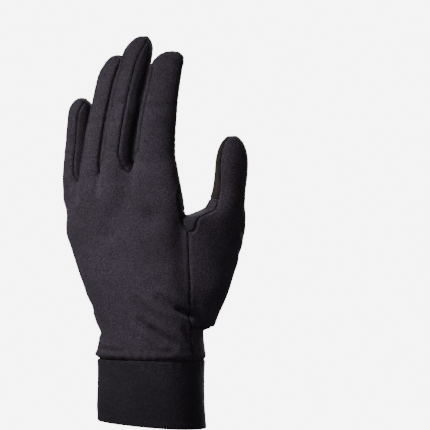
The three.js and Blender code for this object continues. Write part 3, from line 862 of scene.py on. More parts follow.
def resample(line, spacing):
    """Points at even steps along a line, with the line's own length at each."""
    steps = np.linalg.norm(np.diff(line, axis=0), axis=1)
    length = np.concatenate([[0], np.cumsum(steps)])
    count = max(int(length[-1] / spacing), 2)
    at = np.linspace(0, length[-1], count + 1)
    return np.stack([np.interp(at, length, line[:, i]) for i in range(3)], axis=1), at


# Where the thumb's outer side is eased: shares of THUMB_RISE where it starts and ends, and mm out
# from the thumb's middle
SHELF_START = (0.54, 0.61)
SHELF_END = (0.74, 0.82)
SHELF_OUT = (-1, 5)
SHELF_HOLD = 0.6
SHELF_ROUNDS = 60


def ease_thumb_shelf(points, tris):
    """Softens the step on the thumb's outer side, where it rises out of its ball."""
    x, _, z = points.T
    up = (z - CUFF_HEIGHT) / THUMB_RISE
    out = x - thumb_at(np.clip(up, THUMB_ROOT[1], 1))["x"]
    share = smooth_step(up, *SHELF_START) * (1 - smooth_step(up, *SHELF_END)) * smooth_step(out, *SHELF_OUT)
    near = share > 0
    pairs = edges_of(tris[near[tris].any(axis=1)])
    used, local = np.unique(pairs, return_inverse=True)
    local = local.reshape(pairs.shape)
    patch, hold = points[used], (SHELF_HOLD * share[used])[:, None]
    for _ in range(SHELF_ROUNDS):
        patch = mix(patch, neighbour_mean(len(used), local, patch), hold)
    points[used] = patch
    return points


seams = find_seams(tris, labels)
points = ease_thumb_shelf(settle_seams(points, tris, seams), tris)


def vertex_normals(points, tris):
    a, b, c = (points[tris[:, i]] for i in range(3))
    face = np.cross(b - a, c - a)
    total = np.zeros_like(points)
    for i in range(3):
        np.add.at(total, tris[:, i], face)
    return total / np.maximum(np.linalg.norm(total, axis=1), 1e-9)[:, None]


normals = vertex_normals(points, tris)
outward = slope_of(points[:200])[1]
if (outward * normals[:200]).sum() < 0:
    tris = tris[:, ::-1]
    normals = -normals

# Folds, dents and gathers
# Each row is turn, up, turn, up, half width and depth. On the hand, turn is degrees round it from +X
# (-90 is the middle of the back) and up a share of PALM_HEIGHT. On a finger, turn is degrees round it
# (90 is the palm's side) and up a share of its rise. On the thumb, up is a share of THUMB_RISE.
FOLDS = {
    "hand": (
        (-94, 0.71, -90, 0.66, 8.0, 1.7),
        (-52, 0.78, -50, 0.74, 7.0, 2.0),
        (-95, 0.58, -84, 0.48, 9.0, 0.5),
        (-79, 0.211, -57, 0.103, 2.4, 1.3),
        (-50, 0.33, -8, 0.228, 2.8, 1.5),
        (-28, 0.276, -5, 0.238, 1.6, 0.9),
        (-26, 0.168, -16, 0.114, 1.8, 0.8),
        (-68, 0.173, -42, 0.076, 2.2, 1.3),
        (-78, 0.319, -59, 0.201, 2.6, 0.7),
        (-150, 0.062, -98, 0.046, 1.5, 0.8),
        (-128, 0.99, -125, 0.9, 2.2, 1.2),
        (-99, 0.99, -97, 0.92, 2.4, 0.8),
        (-68, 0.98, -68, 0.93, 2.4, 0.5),
        (-158, 0.92, -156, 0.84, 9.0, 1.6),
        (-160, 0.3, -125, 0.16, 3.2, 0.8),
        (-168, 0.2, -140, 0.1, 2.6, 0.8),
        (52, 0.27, 100, 0.15, 3.0, 1.4),
        (70, 0.2, 118, 0.11, 2.2, 1.0),
        (40, 0.17, 76, 0.09, 2.0, 0.8),
        (150, 0.2, 188, 0.1, 2.8, 1.0),
        (120, 0.62, 140, 0.56, 6.0, 0.8),
        (80, 0.86, 120, 0.9, 3.0, 0.6),
        (60, 0.74, 100, 0.6, 3.4, 0.7),
    ),
    "index": (
        (50, 0.36, 130, 0.34, 1.6, 0.4),
        (60, 0.42, 120, 0.43, 1.5, 0.35),
        (-130, 0.5, -50, 0.5, 3.0, 0.35),
    ),
    "middle": (
        (50, 0.42, 130, 0.4, 1.5, 0.6),
        (60, 0.46, 120, 0.47, 1.4, 0.45),
        (60, 0.36, 135, 0.35, 1.4, 0.35),
        (-130, 0.48, -50, 0.5, 3.0, 0.35),
    ),
    "ring": (
        (50, 0.34, 130, 0.35, 1.5, 0.6),
        (55, 0.4, 125, 0.39, 1.4, 0.45),
        (60, 0.3, 120, 0.31, 1.4, 0.35),
        (-130, 0.46, -50, 0.46, 2.8, 0.3),
    ),
    "little": (
        (50, 0.4, 130, 0.38, 1.5, 0.45),
        (60, 0.46, 120, 0.46, 1.4, 0.3),
        (-130, 0.5, -50, 0.5, 2.8, 0.3),
    ),
    "thumb": (
        (-60, 0.6, -5, 0.52, 3.0, 0.3),
        (-40, 0.5, 10, 0.44, 3.2, 0.3),
        (-75, 0.7, -30, 0.68, 2.6, 0.2),
        (100, 0.66, 170, 0.62, 3.0, 0.7),
        (110, 0.6, 165, 0.55, 3.0, 0.5),
        (30, 0.3, 80, 0.22, 3.6, 0.6),
    ),
}
FOLD_POINTS = 13
FOLD_STRENGTH = 1.6
# Shares of a fold's length where it fades in and out, and the roll beside it: height as a share of its
# depth, distance and width as shares of its half width
FOLD_FADE = (0.04, 0.96)
FOLD_ROLL = (0.5, 1.9, 0.8)


def fold_point(part, turn, up):
    """A point on the face of the hand, a finger or the thumb, at a turn in degrees."""
    tilt, square = 0.0, HAND_SQUARE
    if part == "hand":
        row = hand_section(up)
        x, y, half, back, front = (float(row[key]) for key in ("x", "y", "half", "back", "front"))
        z = CUFF_HEIGHT + up * PALM_HEIGHT
    elif part == "thumb":
        row = thumb_at(up)
        x, y, half, front, tilt = (float(row[key]) for key in ("x", "y", "half", "deep", "turn"))
        back, z = front, CUFF_HEIGHT + up * THUMB_RISE
    else:
        finger = FINGERS[part]
        rows = FINGER_ROWS[finger["tip"]]
        x, y = (float(v) for v in finger_middle(finger, up))
        half = float(read_row(rows, "wide", up)) * finger["width"] / 2
        back = front = float(read_row(rows, "deep", up)) * finger["depth"] / 2
        tilt, square = math.radians(finger["turn"]), FINGER_SQUARE
        z = root_z(finger) + up * finger["rise"]
    c, s = math.cos(math.radians(turn)), math.sin(math.radians(turn))
    px = math.copysign(abs(c) ** (2 / square), c) * half
    py = math.copysign(abs(s) ** (2 / square), s) * (back if s < 0 else front)
    dx, dy = px * math.cos(tilt) - py * math.sin(tilt), px * math.sin(tilt) + py * math.cos(tilt)
    if part == "hand":
        z += KNUCKLE_TAN * float(smooth_step(up, SLOPE_FROM, 1)) * dx
    return x + dx, y + dy, z


def fold_lines():
    """Every fold as (points along it, half width, depth)."""
    for part, rows in FOLDS.items():
        for turn_a, up_a, turn_b, up_b, half, deep in rows:
            shares = np.linspace(0, 1, FOLD_POINTS)
            line = [fold_point(part, mix(turn_a, turn_b, s), mix(up_a, up_b, s)) for s in shares]
            yield np.array(line), half, deep


def fold_push(points):
    """Each fold is a groove between two low rolls. A very short one is a soft dimple."""
    push = np.zeros(len(points))
    for line, half, deep in fold_lines():
        middle = line.mean(axis=0)
        reach = np.linalg.norm(line - middle, axis=1).max() + 4 * half
        near = np.flatnonzero(np.linalg.norm(points - middle, axis=1) < reach)
        if not len(near):
            continue
        gap = np.linalg.norm(points[near, None] - line[None], axis=2)
        closest = gap.argmin(axis=1)
        away = gap[np.arange(len(near)), closest] / half
        t = closest / (len(line) - 1)
        if np.linalg.norm(line[-1] - line[0]) < 2 * half:
            push[near] -= deep * np.exp(-((gap[:, len(line) // 2] / half) ** 2))
            continue
        fade = np.sqrt(np.clip(np.sin(np.pi * np.clip(t, *FOLD_FADE)), 0, 1))
        high, out, wide = FOLD_ROLL
        groove = np.exp(-(away**2)) - high * np.exp(-(((away - out) / wide) ** 2))
        push[near] -= FOLD_STRENGTH * deep * fade * groove
    return push


# Heights in mm above the cuff between which pushes turn from level to the cloth's own direction, the slack
# starts, and the seams sink
LEVEL_FADE = (3, 9)
SLACK_FADE = (7.5, 27.5)
SUNK_FADE = (0.5, 2.5)
GATHERS = 34
GATHER_DEEP = 0.45
GATHER_REACH = 4.5
PINCH_DEEP, PINCH_HALF = 0.45, 0.7
WRIST_ROLL_HIGH, WRIST_ROLL_UP, WRIST_ROLL_HALF = 1.25, 2.7, 2.0
FULL_ROLL_TURN = -148


def wrist_push(points):
    """The hand's cloth is gathered into the cuff: a pinch at the seam, a soft roll above it, puckers."""
    x, y, z = points.T
    above = z - CUFF_HEIGHT
    turn = np.arctan2(y * WRIST_WIDTH / WRIST_DEPTH, x)
    uneven = 1 + 0.4 * np.cos(turn - math.radians(FULL_ROLL_TURN)) + 0.2 * np.sin(7 * turn + 2.1)
    pinch = -PINCH_DEEP * np.exp(-((above / PINCH_HALF) ** 2))
    roll = WRIST_ROLL_HIGH * uneven * np.exp(-(((above - WRIST_ROLL_UP) / WRIST_ROLL_HALF) ** 2))
    fade = np.exp(-np.maximum(above - 1, 0) / GATHER_REACH) * smooth_step(above, 0, 1.2)
    pucker = np.sin(GATHERS * turn + 1.3 * np.sin(5 * turn)) * (0.6 + 0.4 * np.sin(4 * turn + 1))
    return pinch + roll + GATHER_DEEP * fade * pucker


def wrist_directions(points, normals):
    """Directions to push along: the cloth's own, but level ones beside the cuff."""
    wrist = hand_section(0.0)
    u, v = (points[:, 0] - wrist["x"]) / wrist["half"], (points[:, 1] - wrist["y"]) / wrist["back"]
    level = np.stack([u * np.abs(u) ** 0.3, v * np.abs(v) ** 0.3 * WRIST_WIDTH / WRIST_DEPTH, 0 * u], axis=1)
    level /= np.maximum(np.linalg.norm(level, axis=1), 1e-6)[:, None]
    away = smooth_step(points[:, 2] - CUFF_HEIGHT, *LEVEL_FADE)[:, None]
    mixed = mix(level, normals, away)
    return mixed / np.linalg.norm(mixed, axis=1)[:, None]


# Slow waves of cloth over a hand: height, length in mm along x, y and z, and start
SLACK_WAVES = (
    (0.22, (9, math.inf, 21), 0.4),
    (0.2, (13, 8, -11), 2.0),
    (0.12, (7.5, 5, 6.5), 4.4),
)


def slack_push(points):
    """Low, slow unevenness of cloth over a hand."""
    return sum(high * np.sin((points / lengths).sum(axis=1) + start) for high, lengths, start in SLACK_WAVES)


GROOVE_DEEP, GROOVE_HALF = 0.8, 0.75
SEAM_ROLL_HIGH, SEAM_ROLL_OUT, SEAM_ROLL_HALF = 0.2, 1.8, 1.0
PUCKER_HIGH, PUCKER_PITCH, PUCKER_REACH = 0.14, 4.3, 3.2


def seam_samples():
    """Points along every seam, and how far along it each lies."""
    places, lengths = [], []
    for line in (line for lines in seams.values() for line in lines if len(line) > 3):
        spots, at = resample(points[line], SEAM_SPACING)
        places.append(spots)
        lengths.append(at)
    return np.concatenate(places), np.concatenate(lengths)


def seam_push(points):
    """A sunk line at each seam with a low roll of cloth and small puckers on both sides."""
    places, lengths = seam_samples()
    tree = KDTree(len(places))
    for i, spot in enumerate(places):
        tree.insert(spot, i)
    tree.balance()
    found = [tree.find(p) for p in points]
    at = lengths[[f[1] for f in found]]
    away = np.array([f[2] for f in found])
    groove = -GROOVE_DEEP * np.exp(-((away / GROOVE_HALF) ** 2))
    roll = SEAM_ROLL_HIGH * np.exp(-(((away - SEAM_ROLL_OUT) / SEAM_ROLL_HALF) ** 2))
    wave = np.sin(at * 2 * np.pi / PUCKER_PITCH + 1.2 * np.sin(at / 5))
    return groove + roll + PUCKER_HIGH * wave * np.exp(-((away / PUCKER_REACH) ** 2))


push = fold_push(points) + wrist_push(points)
push += slack_push(points) * smooth_step(points[:, 2] - CUFF_HEIGHT, *SLACK_FADE)
points = points + wrist_directions(points, normals) * push[:, None]
normals = vertex_normals(points, tris)
sunk = seam_push(points) * smooth_step(points[:, 2] - CUFF_HEIGHT, *SUNK_FADE)
points = points + normals * sunk[:, None]
normals = vertex_normals(points, tris)


# Finishes
def add_node(tree, kind, settings=None, values=None):
    """Adds a node, makes its settings, then gives its inputs values or links."""
    node = tree.nodes.new(kind)
    for name, value in (settings or {}).items():
        setattr(node, name, value)
    for name, value in (values or {}).items():
        feed(tree, node.inputs[name], value)
    return node


def feed(tree, slot, value):
    """Gives a node's input a value, or a link where the value is a thread or an output."""
    if isinstance(value, Thread):
        value = value.socket
    if isinstance(value, bpy.types.NodeSocket):
        tree.links.new(value, slot)
    else:
        slot.default_value = value


class Thread:
    """A number in a material. Arithmetic on it adds Math nodes."""

    def __init__(self, socket):
        self.socket = socket

    def work(self, operation, *parts):
        settings, values = {"operation": operation}, dict(enumerate(parts))
        return Thread(add_node(self.socket.id_data, "ShaderNodeMath", settings, values).outputs[0])

    def __add__(self, other):
        return self.work("ADD", self, other)

    def __radd__(self, other):
        return self.work("ADD", other, self)

    def __sub__(self, other):
        return self.work("SUBTRACT", self, other)

    def __rsub__(self, other):
        return self.work("SUBTRACT", other, self)

    def __mul__(self, other):
        return self.work("MULTIPLY", self, other)

    def __rmul__(self, other):
        return self.work("MULTIPLY", other, self)

    def __truediv__(self, other):
        return self.work("DIVIDE", self, other)

    def __rtruediv__(self, other):
        return self.work("DIVIDE", other, self)

    def sin(self):
        return self.work("SINE", self)

    def size(self):
        return self.work("ABSOLUTE", self)

    def between(self, low, high):
        """0 below low, 1 above high and even in between."""
        share = (self - low) / (high - low)
        return share.work("MINIMUM", share.work("MAXIMUM", share, 0.0), 1.0)


class Finish:
    """One material. Constants are set on its shader, and add() makes any other node."""

    def __init__(self, name, **constants):
        self.material = bpy.data.materials.new(name)
        self.material.use_nodes = True
        self.tree = self.material.node_tree
        self.shader = self.tree.nodes["Principled BSDF"]
        for socket, value in constants.items():
            self.shader.inputs[socket.replace("_", " ")].default_value = value

    def add(self, kind, settings=None, values=None):
        return add_node(self.tree, kind, settings, values)

    def place(self):
        """Object coordinates in mm, as one vector."""
        where = self.add("ShaderNodeTexCoord").outputs["Object"]
        scaled = self.add("ShaderNodeVectorMath", {"operation": "SCALE"}, {0: where, "Scale": 1000.0})
        return scaled.outputs[0]

    def axes(self, where):
        """The three numbers of a vector."""
        return [Thread(out) for out in self.add("ShaderNodeSeparateXYZ", None, {0: where}).outputs]

    def noise(self, where, scale, detail=2.0, rough=0.5):
        values = {"Vector": where, "Scale": scale, "Detail": detail, "Roughness": rough}
        return Thread(self.add("ShaderNodeTexNoise", None, values).outputs["Fac"])

    def tint(self, share, dark, light):
        """A colour between two. Each is a colour or an output."""
        ends = [end if isinstance(end, bpy.types.NodeSocket) else (*end, 1) for end in (dark, light)]
        values = {0: share, 6: ends[0], 7: ends[1]}
        return self.add("ShaderNodeMix", {"data_type": "RGBA"}, values).outputs[2]

    def dress(self, colour, rough=None, height=None, bump=0.5, distance=0.0003):
        """Feeds the shader, and gives the finished material."""
        feed(self.tree, self.shader.inputs["Base Color"], colour)
        if rough is not None:
            feed(self.tree, self.shader.inputs["Roughness"], rough)
        if height is not None:
            values = {"Strength": bump, "Distance": distance, "Height": height}
            node = self.add("ShaderNodeBump", None, values)
            feed(self.tree, self.shader.inputs["Normal"], node.outputs["Normal"])
        return self.material


SHEEN_TINT = (0.75, 0.66, 0.82, 1)
KNIT_GLOSS = {"Sheen_Roughness": 0.45, "Specular_IOR_Level": 0.25}
# Height of a row of loops and width of a column, in mm
COURSE = 0.78
WALE = 0.92
# The heather of the knit: noise per mm, its detail and roughness, and how strongly it speckles
SPECK = (3.0, 3.0, 0.6)
SPECK_STRENGTH = 4.4
FLECK = (1.6, 2.0, 0.5)
FLECK_STRENGTH = 3.6
CLOUD = (0.045, 2.0, 0.5)
# How dark the random cloud tone and the painted shade between the loops go, as a share of the dark colour
TONE_AND_LOOP_SHADE_DARK = 0.45


def loops(up, across):
    """Height of jersey loops: columns across the cloth, with rows that dip between them."""
    column = (across * (2 * math.pi / WALE)).sin()
    row = (up * (2 * math.pi / COURSE) + column * 1.5).sin()
    return row * 0.3 + column.size() * 0.4 + 0.3


def knit_finish(name, dark, light, sheen, mottle=1.0):
    """Fine jersey knit with a heather speckle: loops in rows up the cloth and columns across it, with painted
    shade in the hollows between the loops.
    """
    finish = Finish(name, Sheen_Weight=sheen, Sheen_Tint=SHEEN_TINT, **KNIT_GLOSS)
    where = finish.place()
    x, y, z = finish.axes(where)
    side = Thread(finish.add("ShaderNodeAttribute", {"attribute_name": "side_share"}).outputs["Fac"])
    fronts, sides = (loops(z, across) for across in (x, y))
    knit = fronts * (1 - side) + sides * side
    speck, fleck, cloud = (finish.noise(where, *kind) for kind in (SPECK, FLECK, CLOUD))
    heather = (speck - 0.5) * (SPECK_STRENGTH * mottle) + (fleck - 0.5) * (FLECK_STRENGTH * mottle) + 0.5
    colour = finish.tint(heather.between(0.0, 1.0), dark, light)
    # Random cloud tone, and painted shade: the colour is darkened in the hollows between the loops
    tone_and_loop_shade = cloud.between(0.35, 0.65) * 0.22 + (1 - knit) * 0.18
    colour = finish.tint(tone_and_loop_shade, colour, [c * TONE_AND_LOOP_SHADE_DARK for c in dark])
    rough = 0.86 + (speck - 0.5) * 0.14
    return finish.dress(colour, rough, knit * 0.8 + speck * 0.7 + fleck * 0.5, 0.55, 0.00028)


def patch_finish(name, dark, light, sheen=0.1):
    """Dense matt touch cloth with a very fine twill and a rubbed, uneven face."""
    finish = Finish(name, Sheen_Weight=sheen, Sheen_Roughness=0.5, Specular_IOR_Level=0.18)
    where = finish.place()
    x, y, z = finish.axes(where)
    twill = ((x + y) * 5.2 + z * 7.5).sin()
    speck = finish.noise(where, 2.2, 3.0, 0.6)
    rubbed = finish.noise(where, 0.35, 3.0, 0.6)
    tone = (speck - 0.5) * 2.6 + (rubbed - 0.5) * 1.6 + 0.5
    colour = finish.tint(tone.between(0.0, 1.0), dark, light)
    rough = 0.84 + (speck - 0.5) * 0.2
    return finish.dress(colour, rough, twill * 0.3 + speck * 0.9, 0.5, 0.00025)


def strip_finish():
    """Brown-black grained cloth, like fine suede with worn specks."""
    finish = Finish("strip grain", Sheen_Weight=0.2, Sheen_Roughness=0.4, Specular_IOR_Level=0.3)
    where = finish.place()
    grain = finish.noise(where, 1.5, 4.0, 0.65)
    worn = finish.noise(where, 0.5, 2.0, 0.5)
    colour = finish.tint((grain * 0.7 + worn * 0.3 - 0.5).between(-0.12, 0.14), STRIP_DARK, STRIP_LIGHT)
    rough = 0.8 + (grain - 0.5) * 0.2
    return finish.dress(colour, rough, grain * 1.0 + worn * 0.5, 0.6, 0.0004)


def ribbon_finish():
    """Black ribbon with fine ribs both ways."""
    finish = Finish("tab ribbon", Sheen_Weight=0.1, Specular_IOR_Level=0.4)
    where = finish.place()
    x, _, z = finish.axes(where)
    rib = (z * 9.0).sin() * 0.5 + (x * 12.0).sin() * 0.3
    speck = finish.noise(where, 2.2)
    colour = finish.tint(speck.between(0.35, 0.65), (0.006, 0.006, 0.007), (0.014, 0.014, 0.016))
    return finish.dress(colour, 0.6 + (speck - 0.5) * 0.2, rib, 0.5, 0.0002)


def yarn_finish(name, dark, light):
    """Sewing yarn with small specks."""
    finish = Finish(name, Sheen_Weight=0.2, Specular_IOR_Level=0.3)
    where = finish.place()
    speck = finish.noise(where, 3.0)
    colour = finish.tint(speck.between(0.3, 0.7), dark, light)
    return finish.dress(colour, 0.75 + (speck - 0.5) * 0.2, speck, 0.3, 0.0001)


KNIT_DARK, KNIT_LIGHT = (0.013, 0.0098, 0.015), (0.074, 0.056, 0.081)
# The inset colours are the knit's made darker: painted shade for the strips between the fingers and the
# thumb's inner panel
PAINTED_SHADE_INSET_DARK, PAINTED_SHADE_INSET_LIGHT = (0.011, 0.0085, 0.013), (0.058, 0.045, 0.064)
CUFF_DARK, CUFF_LIGHT = (0.009, 0.0066, 0.0108), (0.043, 0.0325, 0.049)
PATCH_DARK, PATCH_LIGHT = (0.011, 0.0073, 0.0062), (0.029, 0.0195, 0.017)
STRIP_DARK, STRIP_LIGHT = (0.008, 0.0055, 0.0045), (0.034, 0.022, 0.019)

finishes = {
    "knit": knit_finish("purple-black knit", KNIT_DARK, KNIT_LIGHT, 0.06),
    "inset_knit": knit_finish("inset knit with painted shade", PAINTED_SHADE_INSET_DARK, PAINTED_SHADE_INSET_LIGHT, 0.06),
    "cuff_knit": knit_finish("smooth cuff knit", CUFF_DARK, CUFF_LIGHT, 0.05, 0.8),
    "touch_patch": patch_finish("touch cloth", PATCH_DARK, PATCH_LIGHT),
    "strip": strip_finish(),
    "tab": ribbon_finish(),
}
dark_yarn = yarn_finish("dark yarn", (0.004, 0.0034, 0.005), (0.011, 0.009, 0.013))
pale_yarn = yarn_finish("pale yarn", (0.06, 0.052, 0.06), (0.13, 0.115, 0.13))


# Pieces
def make_piece(name, points, faces, material):
    mesh = bpy.data.meshes.new(name)
    mesh.from_pydata((np.asarray(points) * MM).tolist(), [], [list(map(int, face)) for face in faces])
    mesh.materials.append(material)
    mesh.update()
    mesh.shade_smooth()
    piece = bpy.data.objects.new(name, mesh)
    bpy.context.scene.collection.objects.link(piece)
    return piece


def note_sides(piece, normals):
    """Records how far the cloth faces sideways, for the direction of the knit's columns."""
    share = smooth_step(np.abs(normals[:, 0]), 0.35, 0.9)
    layer = piece.data.attributes.new("side_share", "FLOAT", "POINT")
    layer.data.foreach_set("value", share.astype(np.float32))


def thicken(piece, wall):
    """Gives a cloth its thickness on its inner side."""
    solid = piece.modifiers.new("cloth wall", "SOLIDIFY")
    solid.thickness = wall * MM
    solid.offset = -1
    solid.use_even_offset = False
    bake_modifiers(piece)


def bake_modifiers(piece):
    depsgraph = bpy.context.evaluated_depsgraph_get()
    mesh = bpy.data.meshes.new_from_object(piece.evaluated_get(depsgraph))
    piece.modifiers.clear()
    piece.data = mesh


SEAM_LAP = 0.05


def panel_piece(name, label):
    """One panel: its part of the skin, lapped a hair over its seams, then given its wall."""
    mine = tris[labels == label]
    used, faces = np.unique(mine, return_inverse=True)
    faces = faces.reshape(mine.shape)
    spots = points[used].copy()
    edge = np.unique(open_edges(faces))
    inwards = neighbour_mean(len(used), edges_of(faces), spots)[edge] - spots[edge]
    length = np.linalg.norm(inwards, axis=1)[:, None]
    spots[edge] += inwards / np.maximum(length, 1e-6) * -SEAM_LAP
    piece = make_piece(PARTS[name][0], spots, faces, finishes[PARTS[name][1]])
    note_sides(piece, normals[used])
    thicken(piece, CLOTH_WALL)
    return piece


pieces = {name: panel_piece(name, i) for i, name in enumerate(PANELS)}


# Cuff: a doubled band, folded at its lower rim
CUFF_TURNS = 176
CUFF_LEVELS = 44
INNER_LEVELS = 12
RIM_STEPS = 8
TOP_STEPS = 4
TOP_ROUND = 0.6
CUFF_SEAM_TURN = 140
CUFF_SEAM_DEEP = 0.35
CUFF_FULL_TURN = 212
CUFF_FULL_HIGH, CUFF_FULL_HALF = 1.1, 48
RIM_RAISED = 0.9
HEM_UP, HEM_DEEP = 5.2, 0.125
MM_PER_DEGREE = 0.55


def cuff_point(turn, up, out):
    """A point on the cuff, out mm outside its face."""
    swell = read_row(CUFF_ROWS, "swell", up)
    c, s = np.cos(turn), np.sin(turn)
    px = np.sign(c) * np.abs(c) ** (2 / HAND_SQUARE) * (CUFF_WIDTH / 2 * swell + out)
    py = np.sign(s) * np.abs(s) ** (2 / HAND_SQUARE) * (CUFF_DEPTH / 2 * swell + out)
    z = up * CUFF_HEIGHT + (1 - up) * (RIM_RAISED - RIM_DROP / CUFF_WIDTH * px)
    return np.stack([px, py, z], axis=-1)


def degrees_from(turn, middle):
    return (np.degrees(turn) - middle + 180) % 360 - 180


def cuff_wave(turn, up):
    """Soft unevenness of the band, its pull at the top seam and the sunk line of its own seam."""
    down = (1 - up) * CUFF_HEIGHT
    wave = 0.18 * np.sin(5 * turn + 1.1 + 2 * up) + 0.12 * np.sin(9 * turn + 3 * up + 0.4)
    pucker = 0.22 * np.exp(-((down / 5) ** 2)) * np.sin(31 * turn + 1.3 * np.sin(5 * turn))
    pinch = -0.12 * np.exp(-((down / 0.9) ** 2))
    beside = degrees_from(turn, CUFF_SEAM_TURN) * MM_PER_DEGREE
    seam = -CUFF_SEAM_DEEP * np.exp(-((beside / 0.8) ** 2))
    hem = -HEM_DEEP * np.exp(-((up * CUFF_HEIGHT - HEM_UP) ** 2) / 1.2)
    full = np.exp(-((degrees_from(turn, CUFF_FULL_TURN) / CUFF_FULL_HALF) ** 2)) * smooth_step(up, 0.0, 0.3)
    return wave + pucker + pinch + seam + hem + CUFF_FULL_HIGH * full


def grid_faces(rows, columns, closed=False):
    """Quads over a grid of points that are listed row by row. A closed grid meets itself both ways."""
    faces = []
    for r in range(rows if closed else rows - 1):
        near, far = r * columns, (r + 1) % rows * columns
        for c in range(columns if closed else columns - 1):
            ahead = (c + 1) % columns
            faces.append((near + c, near + ahead, far + ahead, far + c))
    return faces


def cuff_profile():
    """The band's section from its rim up the outer face, over the top and down inside: (up, out)."""
    half_wall = CUFF_WALL / 2
    top = CUFF_HEIGHT - TOP_ROUND
    for angle in np.linspace(0, math.pi, RIM_STEPS + 1):
        yield half_wall * (1 - math.sin(angle)) / CUFF_HEIGHT, -half_wall - half_wall * math.cos(angle)
    for k in range(1, CUFF_LEVELS):
        yield mix(half_wall, top, k / CUFF_LEVELS) / CUFF_HEIGHT, 0.0
    for angle in np.linspace(0, math.pi, TOP_STEPS + 1):
        yield 1 - TOP_ROUND * (1 - math.sin(angle)) / CUFF_HEIGHT, -half_wall + half_wall * math.cos(angle)
    for k in range(1, INNER_LEVELS):
        yield mix(top, half_wall, k / INNER_LEVELS) / CUFF_HEIGHT, -CUFF_WALL


def make_cuff():
    turn = np.linspace(0, 2 * math.pi, CUFF_TURNS, endpoint=False)
    rings = []
    for up, out in cuff_profile():
        wave = cuff_wave(turn, np.full_like(turn, up)) * (1 + out / CUFF_WALL)
        rings.append(cuff_point(turn, up, out + wave))
    spots = np.concatenate(rings)
    faces = grid_faces(len(rings), CUFF_TURNS, closed=True)
    piece = make_piece(PARTS["cuff"][0], spots, faces, finishes["cuff_knit"])
    level = spots * [1 / CUFF_WIDTH, 1 / CUFF_DEPTH, 0]
    note_sides(piece, level / np.maximum(np.linalg.norm(level, axis=1), 1e-6)[:, None])
    return piece


def cuff_sheet(name, turns, ups, out_of, columns, rows, wall):
    """A cloth piece that lies on the cuff. out_of(across, up) is how far its outer face stands out."""
    across = np.linspace(0, 1, columns + 1)
    turn = np.radians(mix(*turns, across))
    spots = []
    for share in np.linspace(0, 1, rows + 1):
        up = mix(*ups, share)
        out = cuff_wave(turn, np.full_like(turn, up)) + out_of(across, share)
        spots.append(cuff_point(turn, up, out))
    cloth, slot, _ = PARTS[name]
    piece = make_piece(cloth, np.concatenate(spots), grid_faces(rows + 1, columns + 1), finishes[slot])
    thicken(piece, wall)
    return piece


TURN_PER_MM = math.degrees(1 / (CUFF_WIDTH / 2))
STRIP_TURNS = [STRIP_MIDDLE_TURN + share * STRIP_WIDTH * TURN_PER_MM for share in (-0.5, 0.5)]
STRIP_UPS = (0.005, 0.985)
STRIP_WALL = 0.8
STRIP_OUT = 0.75
TAB_WIDTH = 5
TAB_FROM = STRIP_TURNS[1] + 0.3 * TURN_PER_MM
TAB_TURNS = (TAB_FROM, TAB_FROM + TAB_WIDTH * TURN_PER_MM)
TAB_UPS = (4 / CUFF_HEIGHT, 24 / CUFF_HEIGHT)
TAB_WALL = 0.7
TAB_OUT = 0.9


def strip_out(across, up):
    """The strip is thin at its edges and a little uneven along its length."""
    edge = np.minimum(across, 1 - across)
    return STRIP_OUT + 0.35 * smooth_step(edge, 0, 0.12) + 0.1 * np.sin(up * 9) * smooth_step(edge, 0, 0.3)


def tab_out(across, up):
    """The tab lifts off the cuff towards its free edge, most at its top."""
    return TAB_OUT + 0.9 * across**2 + 0.5 * across * up


pieces["cuff"] = make_cuff()
pieces["cuff_strip"] = cuff_sheet("cuff_strip", STRIP_TURNS, STRIP_UPS, strip_out, 24, 56, STRIP_WALL)
pieces["label_tab"] = cuff_sheet("label_tab", TAB_TURNS, TAB_UPS, tab_out, 12, 28, TAB_WALL)


# Stitches
STITCH_SEED = 7


def stitch_tree():
    """Geometry Nodes: one stitch at even steps along every path, its long way along the path."""
    tree = bpy.data.node_groups.new("stitch rows", "GeometryNodeTree")
    inputs = (
        ("Geometry", "NodeSocketGeometry", None),
        ("Pitch", "NodeSocketFloat", 0.0021),
        ("Length", "NodeSocketFloat", 0.0014),
        ("Thickness", "NodeSocketFloat", 0.00032),
        ("Seed", "NodeSocketInt", STITCH_SEED),
        ("Yarn", "NodeSocketMaterial", None),
    )
    for name, kind, value in inputs:
        socket = tree.interface.new_socket(name, in_out="INPUT", socket_type=kind)
        if value is not None:
            socket.default_value = value
    tree.interface.new_socket("Geometry", in_out="OUTPUT", socket_type="NodeSocketGeometry")

    def add(kind, settings=None, output=0, **values):
        """A node and one of its outputs. An input's name is written as a keyword, an index as _2."""
        named = {int(k[1:]) if k[0] == "_" else k: value for k, value in values.items()}
        return add_node(tree, kind, settings, named).outputs[output]

    given = tree.nodes.new("NodeGroupInput").outputs
    path = add("GeometryNodeMeshToCurve", Mesh=given["Geometry"])
    steps = add("GeometryNodeResampleCurve", {"mode": "LENGTH"}, Curve=path, Length=given["Pitch"])
    tangent = add("GeometryNodeInputTangent")
    out = add("GeometryNodeInputNamedAttribute", {"data_type": "FLOAT_VECTOR"}, "Attribute", Name="out")
    along = add("FunctionNodeAlignRotationToVector", {"axis": "X"}, Vector=tangent)
    facing = {"axis": "Z", "pivot_axis": "X"}
    faced = add("FunctionNodeAlignRotationToVector", facing, Rotation=along, Vector=out)
    shape = add("GeometryNodeMeshUVSphere", None, "Mesh", Segments=8, Rings=5, Radius=0.5)
    thick = given["Thickness"]
    size = add("ShaderNodeCombineXYZ", X=given["Length"], Y=thick, Z=thick)
    shaped = add("GeometryNodeTransform", Geometry=shape, Scale=size)
    scale = add("FunctionNodeRandomValue", {"data_type": "FLOAT"}, 1, _2=0.85, _3=1.12, Seed=given["Seed"])
    rows = add("GeometryNodeInstanceOnPoints", Points=steps, Instance=shaped, Rotation=faced, Scale=scale)
    smooth = add("GeometryNodeSetShadeSmooth", Geometry=add("GeometryNodeRealizeInstances", Geometry=rows))
    dressed = add("GeometryNodeSetMaterial", Geometry=smooth, Material=given["Yarn"])
    add_node(tree, "NodeGroupOutput", None, {"Geometry": dressed})
    return tree


STITCHES = stitch_tree()


